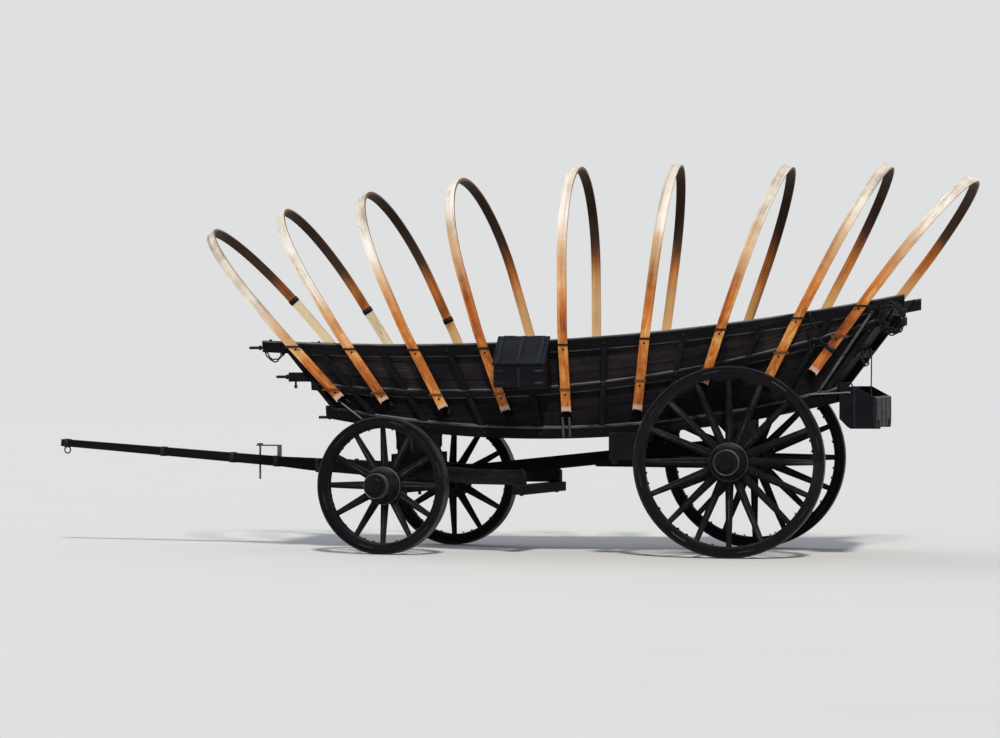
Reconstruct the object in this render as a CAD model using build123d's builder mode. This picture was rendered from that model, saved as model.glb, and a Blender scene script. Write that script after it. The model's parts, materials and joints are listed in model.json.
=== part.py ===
from build123d import *
import os
from math import cos, radians, sin, sqrt, tan

os.makedirs("parts", exist_ok=True)

# A four-wheeled freight wagon with a boat-shaped bed and nine bent-wood bows, in millimetres.
# It faces -X, its left side is -Y and it stands on Z = 0. Stations are distances behind the rear axle.

# Clearances
seam = 0.3
play = 5.0
arm_play = 0.5
tyre_side_gap = 12

# Wheels and axles
rear_wheel_radius = 762
front_wheel_radius = 556
wheelbase = 2700
track = 1642
tyre_width = 96
tyre_thickness = 15
felloe_width = 80
felloe_depth = 76
joint_groove = 3
rear_spokes = 16
front_spokes = 12
spoke_foot = (72, 44)
spoke_tip = (44, 34)
dish = 45
nave_radius = 150
nave_back = 200
nave_front = 215
nave_back_radius = 110
nave_front_radius = 97
nave_middle = 62
nave_swell = 95
nave_back_band = 50
nave_front_band = 60
arm_radius = 38
arm_nut_radius = 60
arm_nut_width = 22
axle_thickness = 110
axle_depth = 114
rear_axle_depth = 130
front_turn = -8.2

# Reach, bolsters and braces
reach_width = 88
reach_depth = 108
reach_front_overhang = 130
reach_level = 490
reach_tail = 260
bolster_thickness = 112
bolster_half_length = 640
bolster_undercut = (90, 190)
sand_board_depth = 85
sand_board_half_length = 500
kingpin_radius = 14
kingpin_tail = 30
hound_depth = reach_depth + 2 * play + 1
hound_thickness = 68
hound_spread = 200
hound_tail = 1090
hound_tail_flat = 490
hound_tail_drop = 40
hound_tail_chamfer = 26
hound_seat = 65
hound_jaw_start = 520
hound_jaw_end = 900
hound_jaw_rise = 45
hound_jaw_depth = 100
sway_bar_section = (76, 110)
sway_bar_half_length = 520
sway_bar_setback = 35
rear_hound_depth = 66
rear_hound_rise = 3
rear_hound_thickness = 70
rear_hound_spread = 400
rear_hound_reach = 1200
rear_hound_bevel = 160

# Tongue with its hasp and hammer pin
tongue_butt = (96, 104)
tongue_neck = (80, 82)
tongue_tip = (60, 60)
tongue_reach = 3320
tongue_butt_start = 330
tongue_butt_lift = 55
tongue_jaw_lead = 60
tongue_neck_at = 1235
tongue_slope = 4.0
tongue_pin_radius = 13
tongue_pin_setback = 90
hammer_pin_at = 1450
hammer_pin_radius = 8.5
hammer_pin_length = 304
hammer_pin_rise = 140
hammer_pin_head = (48, 12)
hasp_length = 191
hasp_eye = 28
hasp_iron = (36, 12)
hasp_foot = 26

# Bed: three sagging lines, given by the lowest point's station, its height and the radius
bottom_line = (-1590, 935, 9370)
middle_line = (-2300, 1268, 11000)
top_line = (-2650, 1692, 21250)
flare = 14.6
flare_height = 1700
flare_half_width = track / 2 - tyre_width / 2 + tyre_side_gap
frame_thickness = 38
board_thickness = 20
sill_depth = 95
middle_rail_depth = 58
top_rail_depth = 88
post_width = 46
front_foot_station = -3218
front_foot_height = 1077
front_rake = 37.0
rear_foot_station = 705
rear_foot_height = 1215
rear_rake = 36.5
front_sill_overhang = 78
front_middle_overhang = 20
front_top_overhang = 171
rear_overhang = 88
cross_sill_depth = 48
cross_sill_width = 72
floor_thickness = 26
tie_depth = 60
gate_thickness = 24
gate_drop = 46
tie_heights = (0.06, 0.42, 0.9)
end_bar_height = 1434
end_bar_depth = 76
end_bar_reach = 138
end_bar_tip = 30
cross_sill_stations = (-3060, -2700, -2150, -1600, -1060, -530, 0, 420)

# Bows, one row each: station on the centre line at the top rail's height, twist about the vertical and lean
# from it in degrees, rearward positive, length of leg below the top rail, rise of the crown above it
bow_width = 76
bow_thickness = 20
bow_knee = 95
bow_knee_radius = 520
bow_table = [
    (-3637, -2.5, -41.4, 612, 1242),
    (-3140, -1.2, -32.4, 548, 1323),
    (-2562, 1.6, -24.5, 563, 1389),
    (-1953, 3.5, -16.3, 569, 1420),
    (-1346, -0.4, -0.4, 581, 1422),
    (-715, -3.2, 7.6, 619, 1397),
    (-66, -1.0, 19.3, 498, 1371),
    (563, -0.5, 27.7, 626, 1356),
    (1116, 2.5, 37.5, 700, 1254),
]
staple_height = 16
staple_iron = 4
staple_drop = 34
staple_slack = 5

# Toolbox on the left side
toolbox_station = -1650
toolbox_length = 400
toolbox_bottom = 1350
toolbox_front_top = 1535
toolbox_hinge_height = 1758
toolbox_half_reach = flare_half_width + 277
toolbox_wall = 18
lid_thickness = 18
lid_overhang = 12
knuckle_radius = 9
knuckle_length = 44
knuckle_stations = (-120, 120)
hinge_pin_radius = 4

# Feed trough behind the tail
trough_length = 1400
trough_station = 862
trough_bottom = 1036
trough_wall = 22
trough_width = 290
trough_back_height = 322
trough_front_height = 235
trough_heel = 70
trough_arm_half_spread = 480
trough_arm_iron = (44, 12)

# Brake
brake_beam_section = (72, 70)
brake_beam_station = -880
shoe_length = 215
shoe_back = 76
shoe_width = 84
shoe_top = 990
shoe_gap = 9


def sag(line, station):
    low_station, low_height, radius = line
    return low_height + radius - sqrt(radius**2 - (station - low_station) ** 2)


# Overall reach ahead of and behind the rear axle, which centres the frame on the whole length
last_station, last_twist, last_lean, last_drop, last_rise = bow_table[-1]
front_reach = tongue_reach * cos(radians(front_turn)) + tongue_tip[0] / 2 * abs(sin(radians(front_turn)))
front_tip = wheelbase + front_reach
tail_run = (last_rise + bow_thickness / 2) * sin(radians(last_lean)) + bow_width / 2 * cos(radians(last_lean))
tail_tip = last_station + tail_run * cos(radians(last_twist))
rear_axle_x = (front_tip - tail_tip) / 2
kingpin_x = rear_axle_x - wheelbase


def at(station):
    return rear_axle_x + station


# The left frames' outer face: a plane that leans out by the flare
lean_sin, lean_cos, lean_tan = sin(radians(flare)), cos(radians(flare)), tan(radians(flare))
left_face = Plane(
    origin=(0, -flare_half_width, flare_height), x_dir=(1, 0, 0), z_dir=(0, -lean_cos, -lean_sin)
)
right_face = Plane(
    origin=(0, flare_half_width, flare_height), x_dir=(-1, 0, 0), z_dir=(0, lean_cos, -lean_sin)
)


def slope(height):
    return (height - flare_height) / lean_cos


def half_width(height, depth=0.0):
    return flare_half_width + (height - flare_height) * lean_tan - depth / lean_cos


def fit_between_sides(gap):
    for face in (left_face, right_face):
        split(bisect_by=face.offset(-(frame_thickness + board_thickness + gap)), keep=Keep.BOTTOM)


def save(builder, name):
    builder.part.label = name
    export_step(builder.part, f"parts/{name}.step")


# Ends of the bed: the foot's station and height, the rake, and which way is out
front_end = (front_foot_station, front_foot_height, front_rake, -1)
rear_end = (rear_foot_station, rear_foot_height, rear_rake, 1)


def end_x(end, height, inset=0.0):
    foot, foot_height, rake, out = end
    run = (height - foot_height) * tan(radians(rake)) - inset / cos(radians(rake))
    return at(foot) + out * run


def meet(end, line, rise, inset=0.0):
    height = end[1]
    for _ in range(30):
        height = sag(line, end_x(end, height, inset) - rear_axle_x) + rise
    return end_x(end, height, inset), height


def arc(line, first, last, rise, place):
    stations = (first, (first + last) / 2, last)
    return [place(at(s), sag(line, s) + rise) for s in stations]


def on_side(x, height):
    return (x, slope(height))


def upright(x, height):
    return (x, height)


def band(line, first, last, low, high, place):
    """A face between two copies of a sagging line, cut upright at both stations."""
    under = arc(line, first, last, low, place)
    over = arc(line, first, last, high, place)
    with BuildLine() as edge:
        ThreePointArc(*under)
        Line(under[2], over[2])
        ThreePointArc(*reversed(over))
        Line(over[0], under[0])
    make_face(edge.line)


def polygon(points):
    with BuildLine() as edge:
        Polyline(*points, close=True)
    make_face(edge.line)


def bar_between(low, high, width):
    """A straight bar of the given width between two heights on the side."""
    half = width / 2
    foot = [(low[0] - half, low[1]), (low[0] + half, low[1])]
    head = [(high[0] + half, high[1]), (high[0] - half, high[1])]
    polygon(foot + head)


# Side boards and side frames
front_top, front_low = meet(front_end, top_line, 0), meet(front_end, bottom_line, 0)
rear_top, rear_low = meet(rear_end, top_line, 0), meet(rear_end, bottom_line, 0)


def station(x):
    return x - rear_axle_x


with BuildPart() as side_boards:
    with BuildSketch(left_face.offset(-(frame_thickness + board_thickness))):
        lower = arc(bottom_line, station(front_low[0]), station(rear_low[0]), 0, on_side)
        upper = arc(top_line, station(front_top[0]), station(rear_top[0]), -4, on_side)
        with BuildLine():
            ThreePointArc(*lower)
            Line(lower[2], upper[2])
            ThreePointArc(*reversed(upper))
            Line(upper[0], lower[0])
        make_face()
    extrude(amount=board_thickness)

posts = []
for (front_station, front_twist, front_lean, _, _), (back_station, back_twist, back_lean, _, _) in zip(
    bow_table, bow_table[1:]
):
    twist = sin(radians(front_twist)) + sin(radians(back_twist))
    head = (front_station + back_station - flare_half_width * twist) / 2
    lean = tan(radians((front_lean + back_lean) / 2))
    foot = head - (sag(top_line, head) - sag(bottom_line, head)) * lean
    posts.append((foot, head))

with BuildPart() as side_frame:
    with BuildSketch(left_face.offset(-frame_thickness)):
        for line, low, high, overhang in [
            (bottom_line, 0, sill_depth, front_sill_overhang),
            (middle_line, 0, middle_rail_depth, front_middle_overhang),
            (top_line, -top_rail_depth, 0, front_top_overhang),
        ]:
            middle = (low + high) / 2
            first = station(meet(front_end, line, middle)[0]) - overhang
            last = station(meet(rear_end, line, middle)[0]) + rear_overhang
            band(line, first, last, low, high, on_side)
        for foot, head in posts:
            bar_between(
                on_side(at(foot), sag(bottom_line, foot) + sill_depth / 2),
                on_side(at(head), sag(top_line, head) - top_rail_depth / 2),
                post_width,
            )
        for end in (front_end, rear_end):
            inset = post_width / 2
            low_x, low_height = meet(end, bottom_line, sill_depth / 2, inset)
            high_x, high_height = meet(end, top_line, -top_rail_depth / 2, inset)
            bar_between(on_side(low_x, low_height), on_side(high_x, high_height), post_width)
    extrude(amount=frame_thickness)

for builder, name in [(side_boards, "side_boards"), (side_frame, "side_frame")]:
    save(builder, f"{name}_left")
    with BuildPart() as twin:
        mirror(builder.part, about=Plane.XZ)
    save(twin, f"{name}_right")

# Floor and the cross sills under it
deck_low = cross_sill_depth
deck_high = cross_sill_depth + floor_thickness

with BuildPart() as floor:
    with BuildSketch(Plane.XZ):
        under = [meet(front_end, bottom_line, deck_low), meet(rear_end, bottom_line, deck_low)]
        over = [meet(front_end, bottom_line, deck_high), meet(rear_end, bottom_line, deck_high)]
        middle = (station(under[0][0]) + station(under[1][0])) / 2
        with BuildLine():
            ThreePointArc(under[0], (at(middle), sag(bottom_line, middle) + deck_low), under[1])
            Line(under[1], over[1])
            ThreePointArc(over[1], (at(middle), sag(bottom_line, middle) + deck_high), over[0])
            Line(over[0], under[0])
        make_face()
    extrude(amount=flare_half_width, both=True)
    fit_between_sides(seam)
save(floor, "floor")

with BuildPart() as cross_sills:
    with BuildSketch(Plane.XZ):
        for place in cross_sill_stations:
            edges = (place - cross_sill_width / 2, place + cross_sill_width / 2)
            polygon(
                [(at(s), sag(bottom_line, s)) for s in edges]
                + [(at(s), sag(bottom_line, s) + deck_low - seam) for s in reversed(edges)]
            )
    extrude(amount=flare_half_width, both=True)
    fit_between_sides(seam)
save(cross_sills, "cross_sills")

# Gates that close the ends, and the tie bars outside them
for end, name, gap in [(front_end, "front_gate", seam), (rear_end, "tail_gate", play)]:
    outer, inner = tie_depth + gap, tie_depth + gap + gate_thickness
    foot_x, foot_height = meet(end, bottom_line, deck_high + seam, outer)
    heel_x, heel_height = meet(end, bottom_line, deck_high + seam, inner)
    head_height = meet(end, top_line, -gate_drop)[1]
    with BuildPart() as gate:
        with BuildSketch(Plane.XZ):
            polygon(
                [
                    (foot_x, foot_height),
                    (end_x(end, head_height, outer), head_height),
                    (end_x(end, head_height, inner), head_height),
                    (heel_x, heel_height),
                ]
            )
        extrude(amount=flare_half_width * 1.3, both=True)
        fit_between_sides(gap)
    save(gate, name)

for end, name in [(front_end, "front_ties"), (rear_end, "rear_ties")]:
    floor_height = meet(end, bottom_line, deck_high + seam, tie_depth)[1]
    head_height = meet(end, top_line, 0)[1]
    with BuildPart() as ties:
        with BuildSketch(Plane.XZ):
            for share in tie_heights:
                low = floor_height + share * (head_height - floor_height - tie_depth)
                high = low + tie_depth
                polygon(
                    [
                        (end_x(end, low), low),
                        (end_x(end, high), high),
                        (end_x(end, high, tie_depth), high),
                        (end_x(end, low, tie_depth), low),
                    ]
                )
        extrude(amount=flare_half_width * 1.3, both=True)
        fit_between_sides(seam)
        if end is front_end:
            low, high = end_bar_height - end_bar_depth / 2, end_bar_height + end_bar_depth / 2
            tip = end_x(end, end_bar_height) - end_bar_reach
            gap = seam / cos(radians(front_rake))
            heel = [(end_x(end, low) - gap, low), (end_x(end, high) - gap, high)]
            with BuildSketch(Plane.XZ):
                polygon([(tip, low)] + heel + [(tip, high)])
            extrude(amount=half_width(end_bar_height) + end_bar_tip, both=True)
    save(ties, name)

# Bows: each a flat strip bent in its own leaning and slightly twisted plane, its legs along the flared sides


def bow_plane(row):
    station_at, twist, lean = row[0], radians(row[1]), radians(row[2])
    return Plane(
        origin=(at(station_at), 0, sag(top_line, station_at)),
        x_dir=(sin(twist), cos(twist), 0),
        z_dir=(cos(twist) * cos(lean), -sin(twist) * cos(lean), -sin(lean)),
    )


def bow_leg(row, side):
    """Offset from the centre line, splay and sideways room of the leg on one side, in the bow's plane."""
    station_at, twist, lean = row[0], radians(row[1]), radians(row[2])
    splay = (cos(lean) * lean_tan + side * sin(lean) * sin(twist)) / cos(twist)
    room = bow_width / 2 * abs(sin(lean) * lean_tan - side * sin(twist) * cos(lean))
    strip = (seam + bow_thickness / 2) / lean_cos
    return (half_width(sag(top_line, station_at)) + room + strip) / cos(twist), splay, room


def bow_profile(row, grow, mode=Mode.ADD):
    drop, rise = row[3], row[4]
    legs = []
    for side in (-1, 1):
        offset_at, splay, _ = bow_leg(row, side)
        beside = offset_at + grow * sqrt(1 + splay**2)
        legs.append((side * (beside - drop * splay), side * (beside + bow_knee * splay)))
    (left_foot, left_knee), (right_foot, right_knee) = legs
    shoulder = rise + grow - (right_knee - left_knee) / 2
    with BuildLine() as outline:
        Polyline(
            (left_knee, shoulder),
            (left_knee, bow_knee),
            (left_foot, -drop),
            (right_foot, -drop),
            (right_knee, bow_knee),
            (right_knee, shoulder),
        )
        crown = ((left_knee + right_knee) / 2, rise + grow)
        ThreePointArc((right_knee, shoulder), crown, (left_knee, shoulder))
    make_face(outline.line, mode=mode)


for number, row in enumerate(bow_table, 1):
    with BuildPart() as bow:
        with BuildSketch(bow_plane(row)):
            bow_profile(row, bow_thickness / 2)
            bow_profile(row, -bow_thickness / 2, mode=Mode.SUBTRACT)
        extrude(amount=bow_width / 2, both=True)
        knees = bow.edges().filter_by(lambda edge: abs(edge.length - bow_width) < 1e-3)
        frame = bow_plane(row)
        knees = knees.filter_by(lambda edge: abs(frame.to_local_coords(edge.center()).Y - bow_knee) < 1)
        fillet(knees, bow_knee_radius)
    save(bow, f"bow_{number}")

# Staples: two irons hold each leg, one on the top rail and one on the middle rail


def leg_point(row, side, down):
    offset_at, splay, _ = bow_leg(row, side)
    point = bow_plane(row).from_local_coords((side * (offset_at - down * splay), -down, 0))
    return point.X, point.Z


for side, face, hand in [(-1, left_face, "left"), (1, right_face, "right")]:
    with BuildPart() as staples:
        for row in bow_table:
            lean, twist = radians(row[2]), radians(row[1])
            room = bow_leg(row, side)[2]
            to_middle = staple_drop
            for _ in range(30):
                where = leg_point(row, side, to_middle)[0] - rear_axle_x
                gap = sag(top_line, row[0]) - sag(middle_line, where) - middle_rail_depth / 2
                to_middle = gap / cos(lean)
            slant = (staple_height + bow_thickness) * abs(tan(lean)) + bow_thickness * abs(tan(twist))
            inside = bow_width / cos(lean) + slant + staple_slack
            depth = bow_thickness + 2 * room + 2 * seam
            for down in (staple_drop, to_middle):
                x, height = leg_point(row, side, down)
                for wide, tall, deep, mode in [
                    (inside + 2 * staple_iron, staple_height, depth + staple_iron, Mode.ADD),
                    (inside, staple_height + 1, depth, Mode.SUBTRACT),
                ]:
                    with BuildSketch(face):
                        with Locations((-side * x, slope(height))):
                            Rectangle(wide, tall)
                    extrude(amount=deep, mode=mode)
    save(staples, f"bow_staples_{hand}")

# Toolbox: a five-sided box against the flared side, under a sloped lid
toolbox_x = at(toolbox_station)
box_side = Plane(origin=(toolbox_x, 0, 0), x_dir=(0, 1, 0), z_dir=(1, 0, 0))
hinge_y = -(half_width(toolbox_hinge_height) + seam / lean_cos)
lid_run = (toolbox_half_reach + hinge_y, toolbox_hinge_height - toolbox_front_top)
lid_length = sqrt(lid_run[0] ** 2 + lid_run[1] ** 2)
lid_x_step, lid_z_step = lid_run[0] / lid_length, lid_run[1] / lid_length

with BuildPart() as toolbox:
    with BuildSketch(box_side):
        polygon(
            [
                (hinge_y, toolbox_hinge_height),
                (-toolbox_half_reach, toolbox_front_top),
                (-toolbox_half_reach, toolbox_bottom),
                (-(half_width(toolbox_bottom) + seam / lean_cos), toolbox_bottom),
            ]
        )
    extrude(amount=toolbox_length / 2, both=True)
    rim = toolbox.faces().sort_by(Axis((0, 0, 0), (0, -lid_z_step, lid_x_step)))[-1]
    offset(amount=-toolbox_wall, openings=rim)
    eye_length = knuckle_length / 2
    for place in knuckle_stations:
        with Locations((toolbox_x + place, hinge_y, toolbox_hinge_height)):
            gap_length = knuckle_length + 2 * play
            Cylinder(knuckle_radius, gap_length + 2 * eye_length, rotation=(0, 90, 0))
            Cylinder(knuckle_radius + play, gap_length, rotation=(0, 90, 0), mode=Mode.SUBTRACT)
            Cylinder(hinge_pin_radius, gap_length + 2 * eye_length, rotation=(0, 90, 0))
save(toolbox, "toolbox")



def on_lid(along, above):
    """A point this far down the lid's slope from the hinge's axis and this far above the box's rim."""
    y = hinge_y - along * lid_x_step - above * lid_z_step
    return (y, toolbox_hinge_height - along * lid_z_step + above * lid_x_step)


with BuildPart() as toolbox_lid:
    clear = knuckle_radius + play
    far = lid_length + lid_overhang
    top = seam + lid_thickness
    with BuildSketch(box_side):
        polygon([on_lid(clear, seam), on_lid(far, seam), on_lid(far, top), on_lid(clear, top)])
    extrude(amount=toolbox_length / 2 + lid_overhang, both=True)
    for place in knuckle_stations:
        with BuildSketch(box_side.offset(place)):
            polygon(
                [
                    on_lid(0, seam),
                    on_lid(2 * clear, seam),
                    on_lid(2 * clear, knuckle_radius),
                    on_lid(0, knuckle_radius),
                ]
            )
            with Locations((hinge_y, toolbox_hinge_height)):
                Circle(knuckle_radius)
                Circle(hinge_pin_radius + arm_play, mode=Mode.SUBTRACT)
        extrude(amount=knuckle_length / 2, both=True)
save(toolbox_lid, "toolbox_lid")

# Feed trough, high at its back and low in front, on two iron arms
trough_x = at(trough_station)
trough_top = trough_bottom + trough_back_height
with BuildPart() as trough:
    with BuildSketch(Plane.XZ):
        polygon(
            [
                (trough_x, trough_bottom + trough_heel),
                (trough_x + trough_heel, trough_bottom),
                (trough_x + trough_width, trough_bottom),
                (trough_x + trough_width, trough_bottom + trough_front_height),
                (trough_x + trough_width * 0.45, trough_top),
                (trough_x, trough_top),
            ]
        )
    extrude(amount=trough_length / 2, both=True)
    with BuildSketch(Plane.XZ):
        wall = trough_wall
        polygon(
            [
                (trough_x + wall, trough_bottom + trough_heel + wall * 0.4),
                (trough_x + trough_heel + wall * 0.4, trough_bottom + wall),
                (trough_x + trough_width - wall, trough_bottom + wall),
                (trough_x + trough_width - wall, trough_top + wall),
                (trough_x + wall, trough_top + wall),
            ]
        )
    extrude(amount=trough_length / 2 - trough_wall, both=True, mode=Mode.SUBTRACT)
save(trough, "feed_trough")

arm_width, arm_iron = trough_arm_iron
with BuildPart() as trough_arms:
    for side in (-1, 1):
        with BuildSketch(Plane.XZ.offset(-side * trough_arm_half_spread)):
            root_high = trough_top - trough_heel
            inner_x = trough_x - seam
            under = trough_bottom - seam
            polygon(
                [
                    (end_x(rear_end, root_high) + seam, root_high),
                    (inner_x, root_high),
                    (inner_x, trough_bottom + trough_heel),
                    (inner_x + trough_heel, under),
                    (trough_x + trough_width + seam, under),
                    (trough_x + trough_width + seam, under + 60),
                    (trough_x + trough_width + seam + arm_iron, under + 60),
                    (trough_x + trough_width + seam + arm_iron, under - arm_iron),
                    (inner_x + trough_heel - arm_iron * 0.4, under - arm_iron),
                    (inner_x - arm_iron, trough_bottom + trough_heel - arm_iron * 0.4),
                    (inner_x - arm_iron, root_high - arm_iron),
                    (end_x(rear_end, root_high - arm_iron) + seam, root_high - arm_iron),
                ]
            )
        extrude(amount=arm_width / 2, both=True)
save(trough_arms, "trough_arms")

# Running gear. The turned frame stands on the ground under the kingpin, with X to the rear along the gear
turn_cos, turn_sin = cos(radians(front_turn)), sin(radians(front_turn))
gear = Plane(origin=(kingpin_x, 0, 0), x_dir=(turn_cos, turn_sin, 0), z_dir=(0, 0, 1))
gear_side = Plane(origin=gear.origin, x_dir=gear.x_dir, z_dir=-gear.y_dir)
rear = Plane(origin=(rear_axle_x, 0, 0), x_dir=(1, 0, 0), z_dir=(0, 0, 1))

front_axle_top = front_wheel_radius + axle_depth / 2 - 13
rear_axle_top = rear_wheel_radius + rear_axle_depth / 2
hound_top = front_axle_top + hound_depth
reach_front_bottom = front_axle_top + play + 1
sand_board_top = hound_top + sand_board_depth
hub_inner = track / 2 - dish - nave_back
hub_outer = track / 2 - dish + nave_front


def make_axle(frame, radius, depth, top, name):
    beam_half = hub_inner - play
    arm_end = hub_outer + play + arm_nut_width
    with BuildPart(frame) as axle:
        with Locations((0, 0, top - depth / 2)):
            Box(axle_thickness, 2 * beam_half, depth)
        with Locations((0, 0, radius)):
            Cylinder(arm_radius, 2 * arm_end, rotation=(90, 0, 0))
        for side in (-1, 1):
            with Locations((0, side * (arm_end - arm_nut_width / 2), radius)):
                Cylinder(arm_nut_radius, arm_nut_width, rotation=(90, 0, 0))
        if name == "front_axle":
            with Locations((0, 0, top - depth / 2)):
                Cylinder(kingpin_radius + arm_play, depth + 1, mode=Mode.SUBTRACT)
    save(axle, name)


make_axle(gear, front_wheel_radius, axle_depth, front_axle_top, "front_axle")
make_axle(rear, rear_wheel_radius, rear_axle_depth, rear_axle_top, "rear_axle")

# Reach: level over each axle, sloping up to the rear between them
half_axle = axle_thickness / 2
with BuildPart() as reach:
    with BuildSketch(Plane.XZ):
        bends = [
            (kingpin_x - reach_front_overhang, reach_front_bottom),
            (kingpin_x + reach_level, reach_front_bottom),
            (rear_axle_x - axle_thickness, rear_axle_top + seam),
            (rear_axle_x + reach_tail, rear_axle_top + seam),
        ]
        polygon(bends + [(x, height + reach_depth) for x, height in reversed(bends)])
    extrude(amount=reach_width / 2, both=True)
    with Locations((kingpin_x, 0, reach_front_bottom + reach_depth / 2)):
        Cylinder(kingpin_radius + seam, reach_depth * 2, mode=Mode.SUBTRACT)
save(reach, "reach")


def bolster(centre_station, low, name):
    edges = (centre_station - bolster_thickness / 2, centre_station + bolster_thickness / 2)
    with BuildPart() as block:
        with BuildSketch(Plane.XZ):
            polygon(
                [(at(s), low) for s in edges] + [(at(s), sag(bottom_line, s) - seam) for s in reversed(edges)]
            )
        extrude(amount=bolster_half_length, both=True)
        with BuildSketch(Plane.YZ.offset(at(centre_station))):
            in_by, up_by = bolster_undercut
            half_lines = [(bolster_half_length - in_by, low), (bolster_half_length, low + up_by)]
            half_lines.append((bolster_half_length, low + wheelbase))
            polygon(half_lines + [(-y, z) for y, z in reversed(half_lines)])
        extrude(amount=bolster_thickness, both=True, mode=Mode.INTERSECT)
        if name == "rear_bolster":
            with Locations((at(centre_station), 0, low)):
                Box(
                    2 * bolster_thickness,
                    reach_width + 2 * seam,
                    2 * (reach_depth + 2 * seam),
                    mode=Mode.SUBTRACT,
                )
        else:
            with Locations((at(centre_station), 0, low)):
                Cylinder(kingpin_radius + seam, 2 * bolster_thickness, mode=Mode.SUBTRACT)
    save(block, name)


front_bolster_low = sand_board_top + play
bolster(-wheelbase, front_bolster_low, "front_bolster")
bolster(0, rear_axle_top + seam, "rear_bolster")

with BuildPart() as kingpin:
    low = front_axle_top - axle_depth - kingpin_tail
    high = front_bolster_low + bolster_thickness - seam
    with BuildSketch(Plane.XY.offset(low)):
        with Locations((kingpin_x, 0)):
            Circle(kingpin_radius)
    extrude(amount=high - low)
save(kingpin, "kingpin")

with BuildPart() as sand_board:
    with BuildSketch(gear.offset(hound_top + seam)):
        Rectangle(axle_thickness, 2 * sand_board_half_length)
        Circle(kingpin_radius + arm_play, mode=Mode.SUBTRACT)
    extrude(amount=sand_board_depth - seam)
save(sand_board, "sand_board")

# Front hounds: jaws that hold the tongue, spreading past the axle to the sway bar
splay_rate = (hound_spread - tongue_butt[0] / 2 - seam - hound_thickness / 2) / hound_jaw_start
jaw_y = tongue_butt[0] / 2 + seam + hound_thickness / 2
tail_y = hound_spread + splay_rate * hound_tail
half_hound = hound_thickness / 2

with BuildPart() as front_hounds:
    for side in (-1, 1):
        with BuildPart(mode=Mode.PRIVATE) as hound:
            with BuildSketch(gear):
                polygon(
                    [
                        (-hound_jaw_end, side * (jaw_y - half_hound)),
                        (-hound_jaw_start, side * (jaw_y - half_hound)),
                        (hound_tail, side * (tail_y - half_hound)),
                        (hound_tail, side * (tail_y + half_hound)),
                        (-hound_jaw_start, side * (jaw_y + half_hound)),
                        (-hound_jaw_end, side * (jaw_y + half_hound)),
                    ]
                )
            extrude(amount=2 * hound_top)
            with BuildSketch(gear_side):
                foot = front_axle_top + seam
                polygon(
                    [
                        (-hound_jaw_end, foot + hound_jaw_rise),
                        (-hound_seat, foot),
                        (hound_seat, foot),
                        (hound_tail - hound_tail_flat, foot - hound_tail_drop),
                        (hound_tail, foot - hound_tail_drop),
                        (hound_tail, hound_top - hound_tail_drop - hound_tail_chamfer),
                        (hound_tail - hound_tail_chamfer, hound_top - hound_tail_drop),
                        (hound_tail - hound_tail_flat, hound_top - hound_tail_drop),
                        (hound_seat, hound_top),
                        (-hound_seat, hound_top),
                        (-hound_jaw_end, foot + hound_jaw_rise + hound_jaw_depth),
                    ]
                )
            extrude(amount=bolster_half_length, both=True, mode=Mode.INTERSECT)
        add(hound.part)
save(front_hounds, "front_hounds")

bar_depth, bar_width = sway_bar_section
with BuildPart() as sway_bar:
    with BuildSketch(gear_side):
        with Locations((hound_tail - sway_bar_setback, front_axle_top - hound_tail_drop - bar_depth / 2)):
            Rectangle(bar_width, bar_depth)
    extrude(amount=sway_bar_half_length, both=True)
save(sway_bar, "sway_bar")

# Tongue: square butt held between the jaws, tapering in two stages to its tip, with a hole for the draw pin
tongue_height = front_axle_top + tongue_butt_lift
pitch = radians(tongue_slope)
tongue_frame = Plane(
    origin=gear.from_local_coords((-tongue_butt_start, 0, tongue_height)),
    x_dir=gear.y_dir,
    z_dir=-cos(pitch) * gear.x_dir + sin(pitch) * gear.z_dir,
)
tongue_stages = [
    (tongue_butt_start, tongue_butt),
    (hound_jaw_end + tongue_jaw_lead, tongue_butt),
    (tongue_neck_at, tongue_neck),
    (tongue_reach, tongue_tip),
]


def tongue_line(ahead, share=0.0):
    """Height on the tongue this far ahead of the kingpin: 0 is its middle, 1 its top and -1 its underside."""
    for (near, (_, near_depth)), (far, (_, far_depth)) in zip(tongue_stages, tongue_stages[1:]):
        if near <= ahead <= far:
            depth = near_depth + (far_depth - near_depth) * (ahead - near) / (far - near)
    return tongue_height + (ahead - tongue_butt_start) * tan(pitch) + share * depth / 2 / cos(pitch)


with BuildPart() as tongue:
    for stage in zip(tongue_stages, tongue_stages[1:]):
        for ahead, (width, depth) in stage:
            with BuildSketch(tongue_frame.offset((ahead - tongue_butt_start) / cos(pitch))):
                Rectangle(width, depth)
        loft()
    draw_pin_at = tongue_reach - tongue_pin_setback
    for ahead, radius in [(draw_pin_at, tongue_pin_radius), (hammer_pin_at, hammer_pin_radius + seam)]:
        with BuildSketch(gear.offset(tongue_line(ahead, -1.5))):
            with Locations((-ahead, 0)):
                Circle(radius)
        extrude(amount=tongue_line(ahead, 1.5) - tongue_line(ahead, -1.5), mode=Mode.SUBTRACT)
save(tongue, "tongue")

# Hammer pin through the tongue, its head held up by the hasp
pin_top = tongue_line(hammer_pin_at) + hammer_pin_rise
head_width, head_depth = hammer_pin_head
with BuildPart() as hammer_pin:
    with BuildSketch(gear.offset(pin_top - hammer_pin_length)):
        with Locations((-hammer_pin_at, 0)):
            Circle(hammer_pin_radius)
    extrude(amount=hammer_pin_length)
    with BuildSketch(gear.offset(pin_top - head_depth)):
        with Locations((-hammer_pin_at, 0)):
            Circle(head_width / 2)
    extrude(amount=head_depth)
save(hammer_pin, "hammer_pin")

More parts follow.
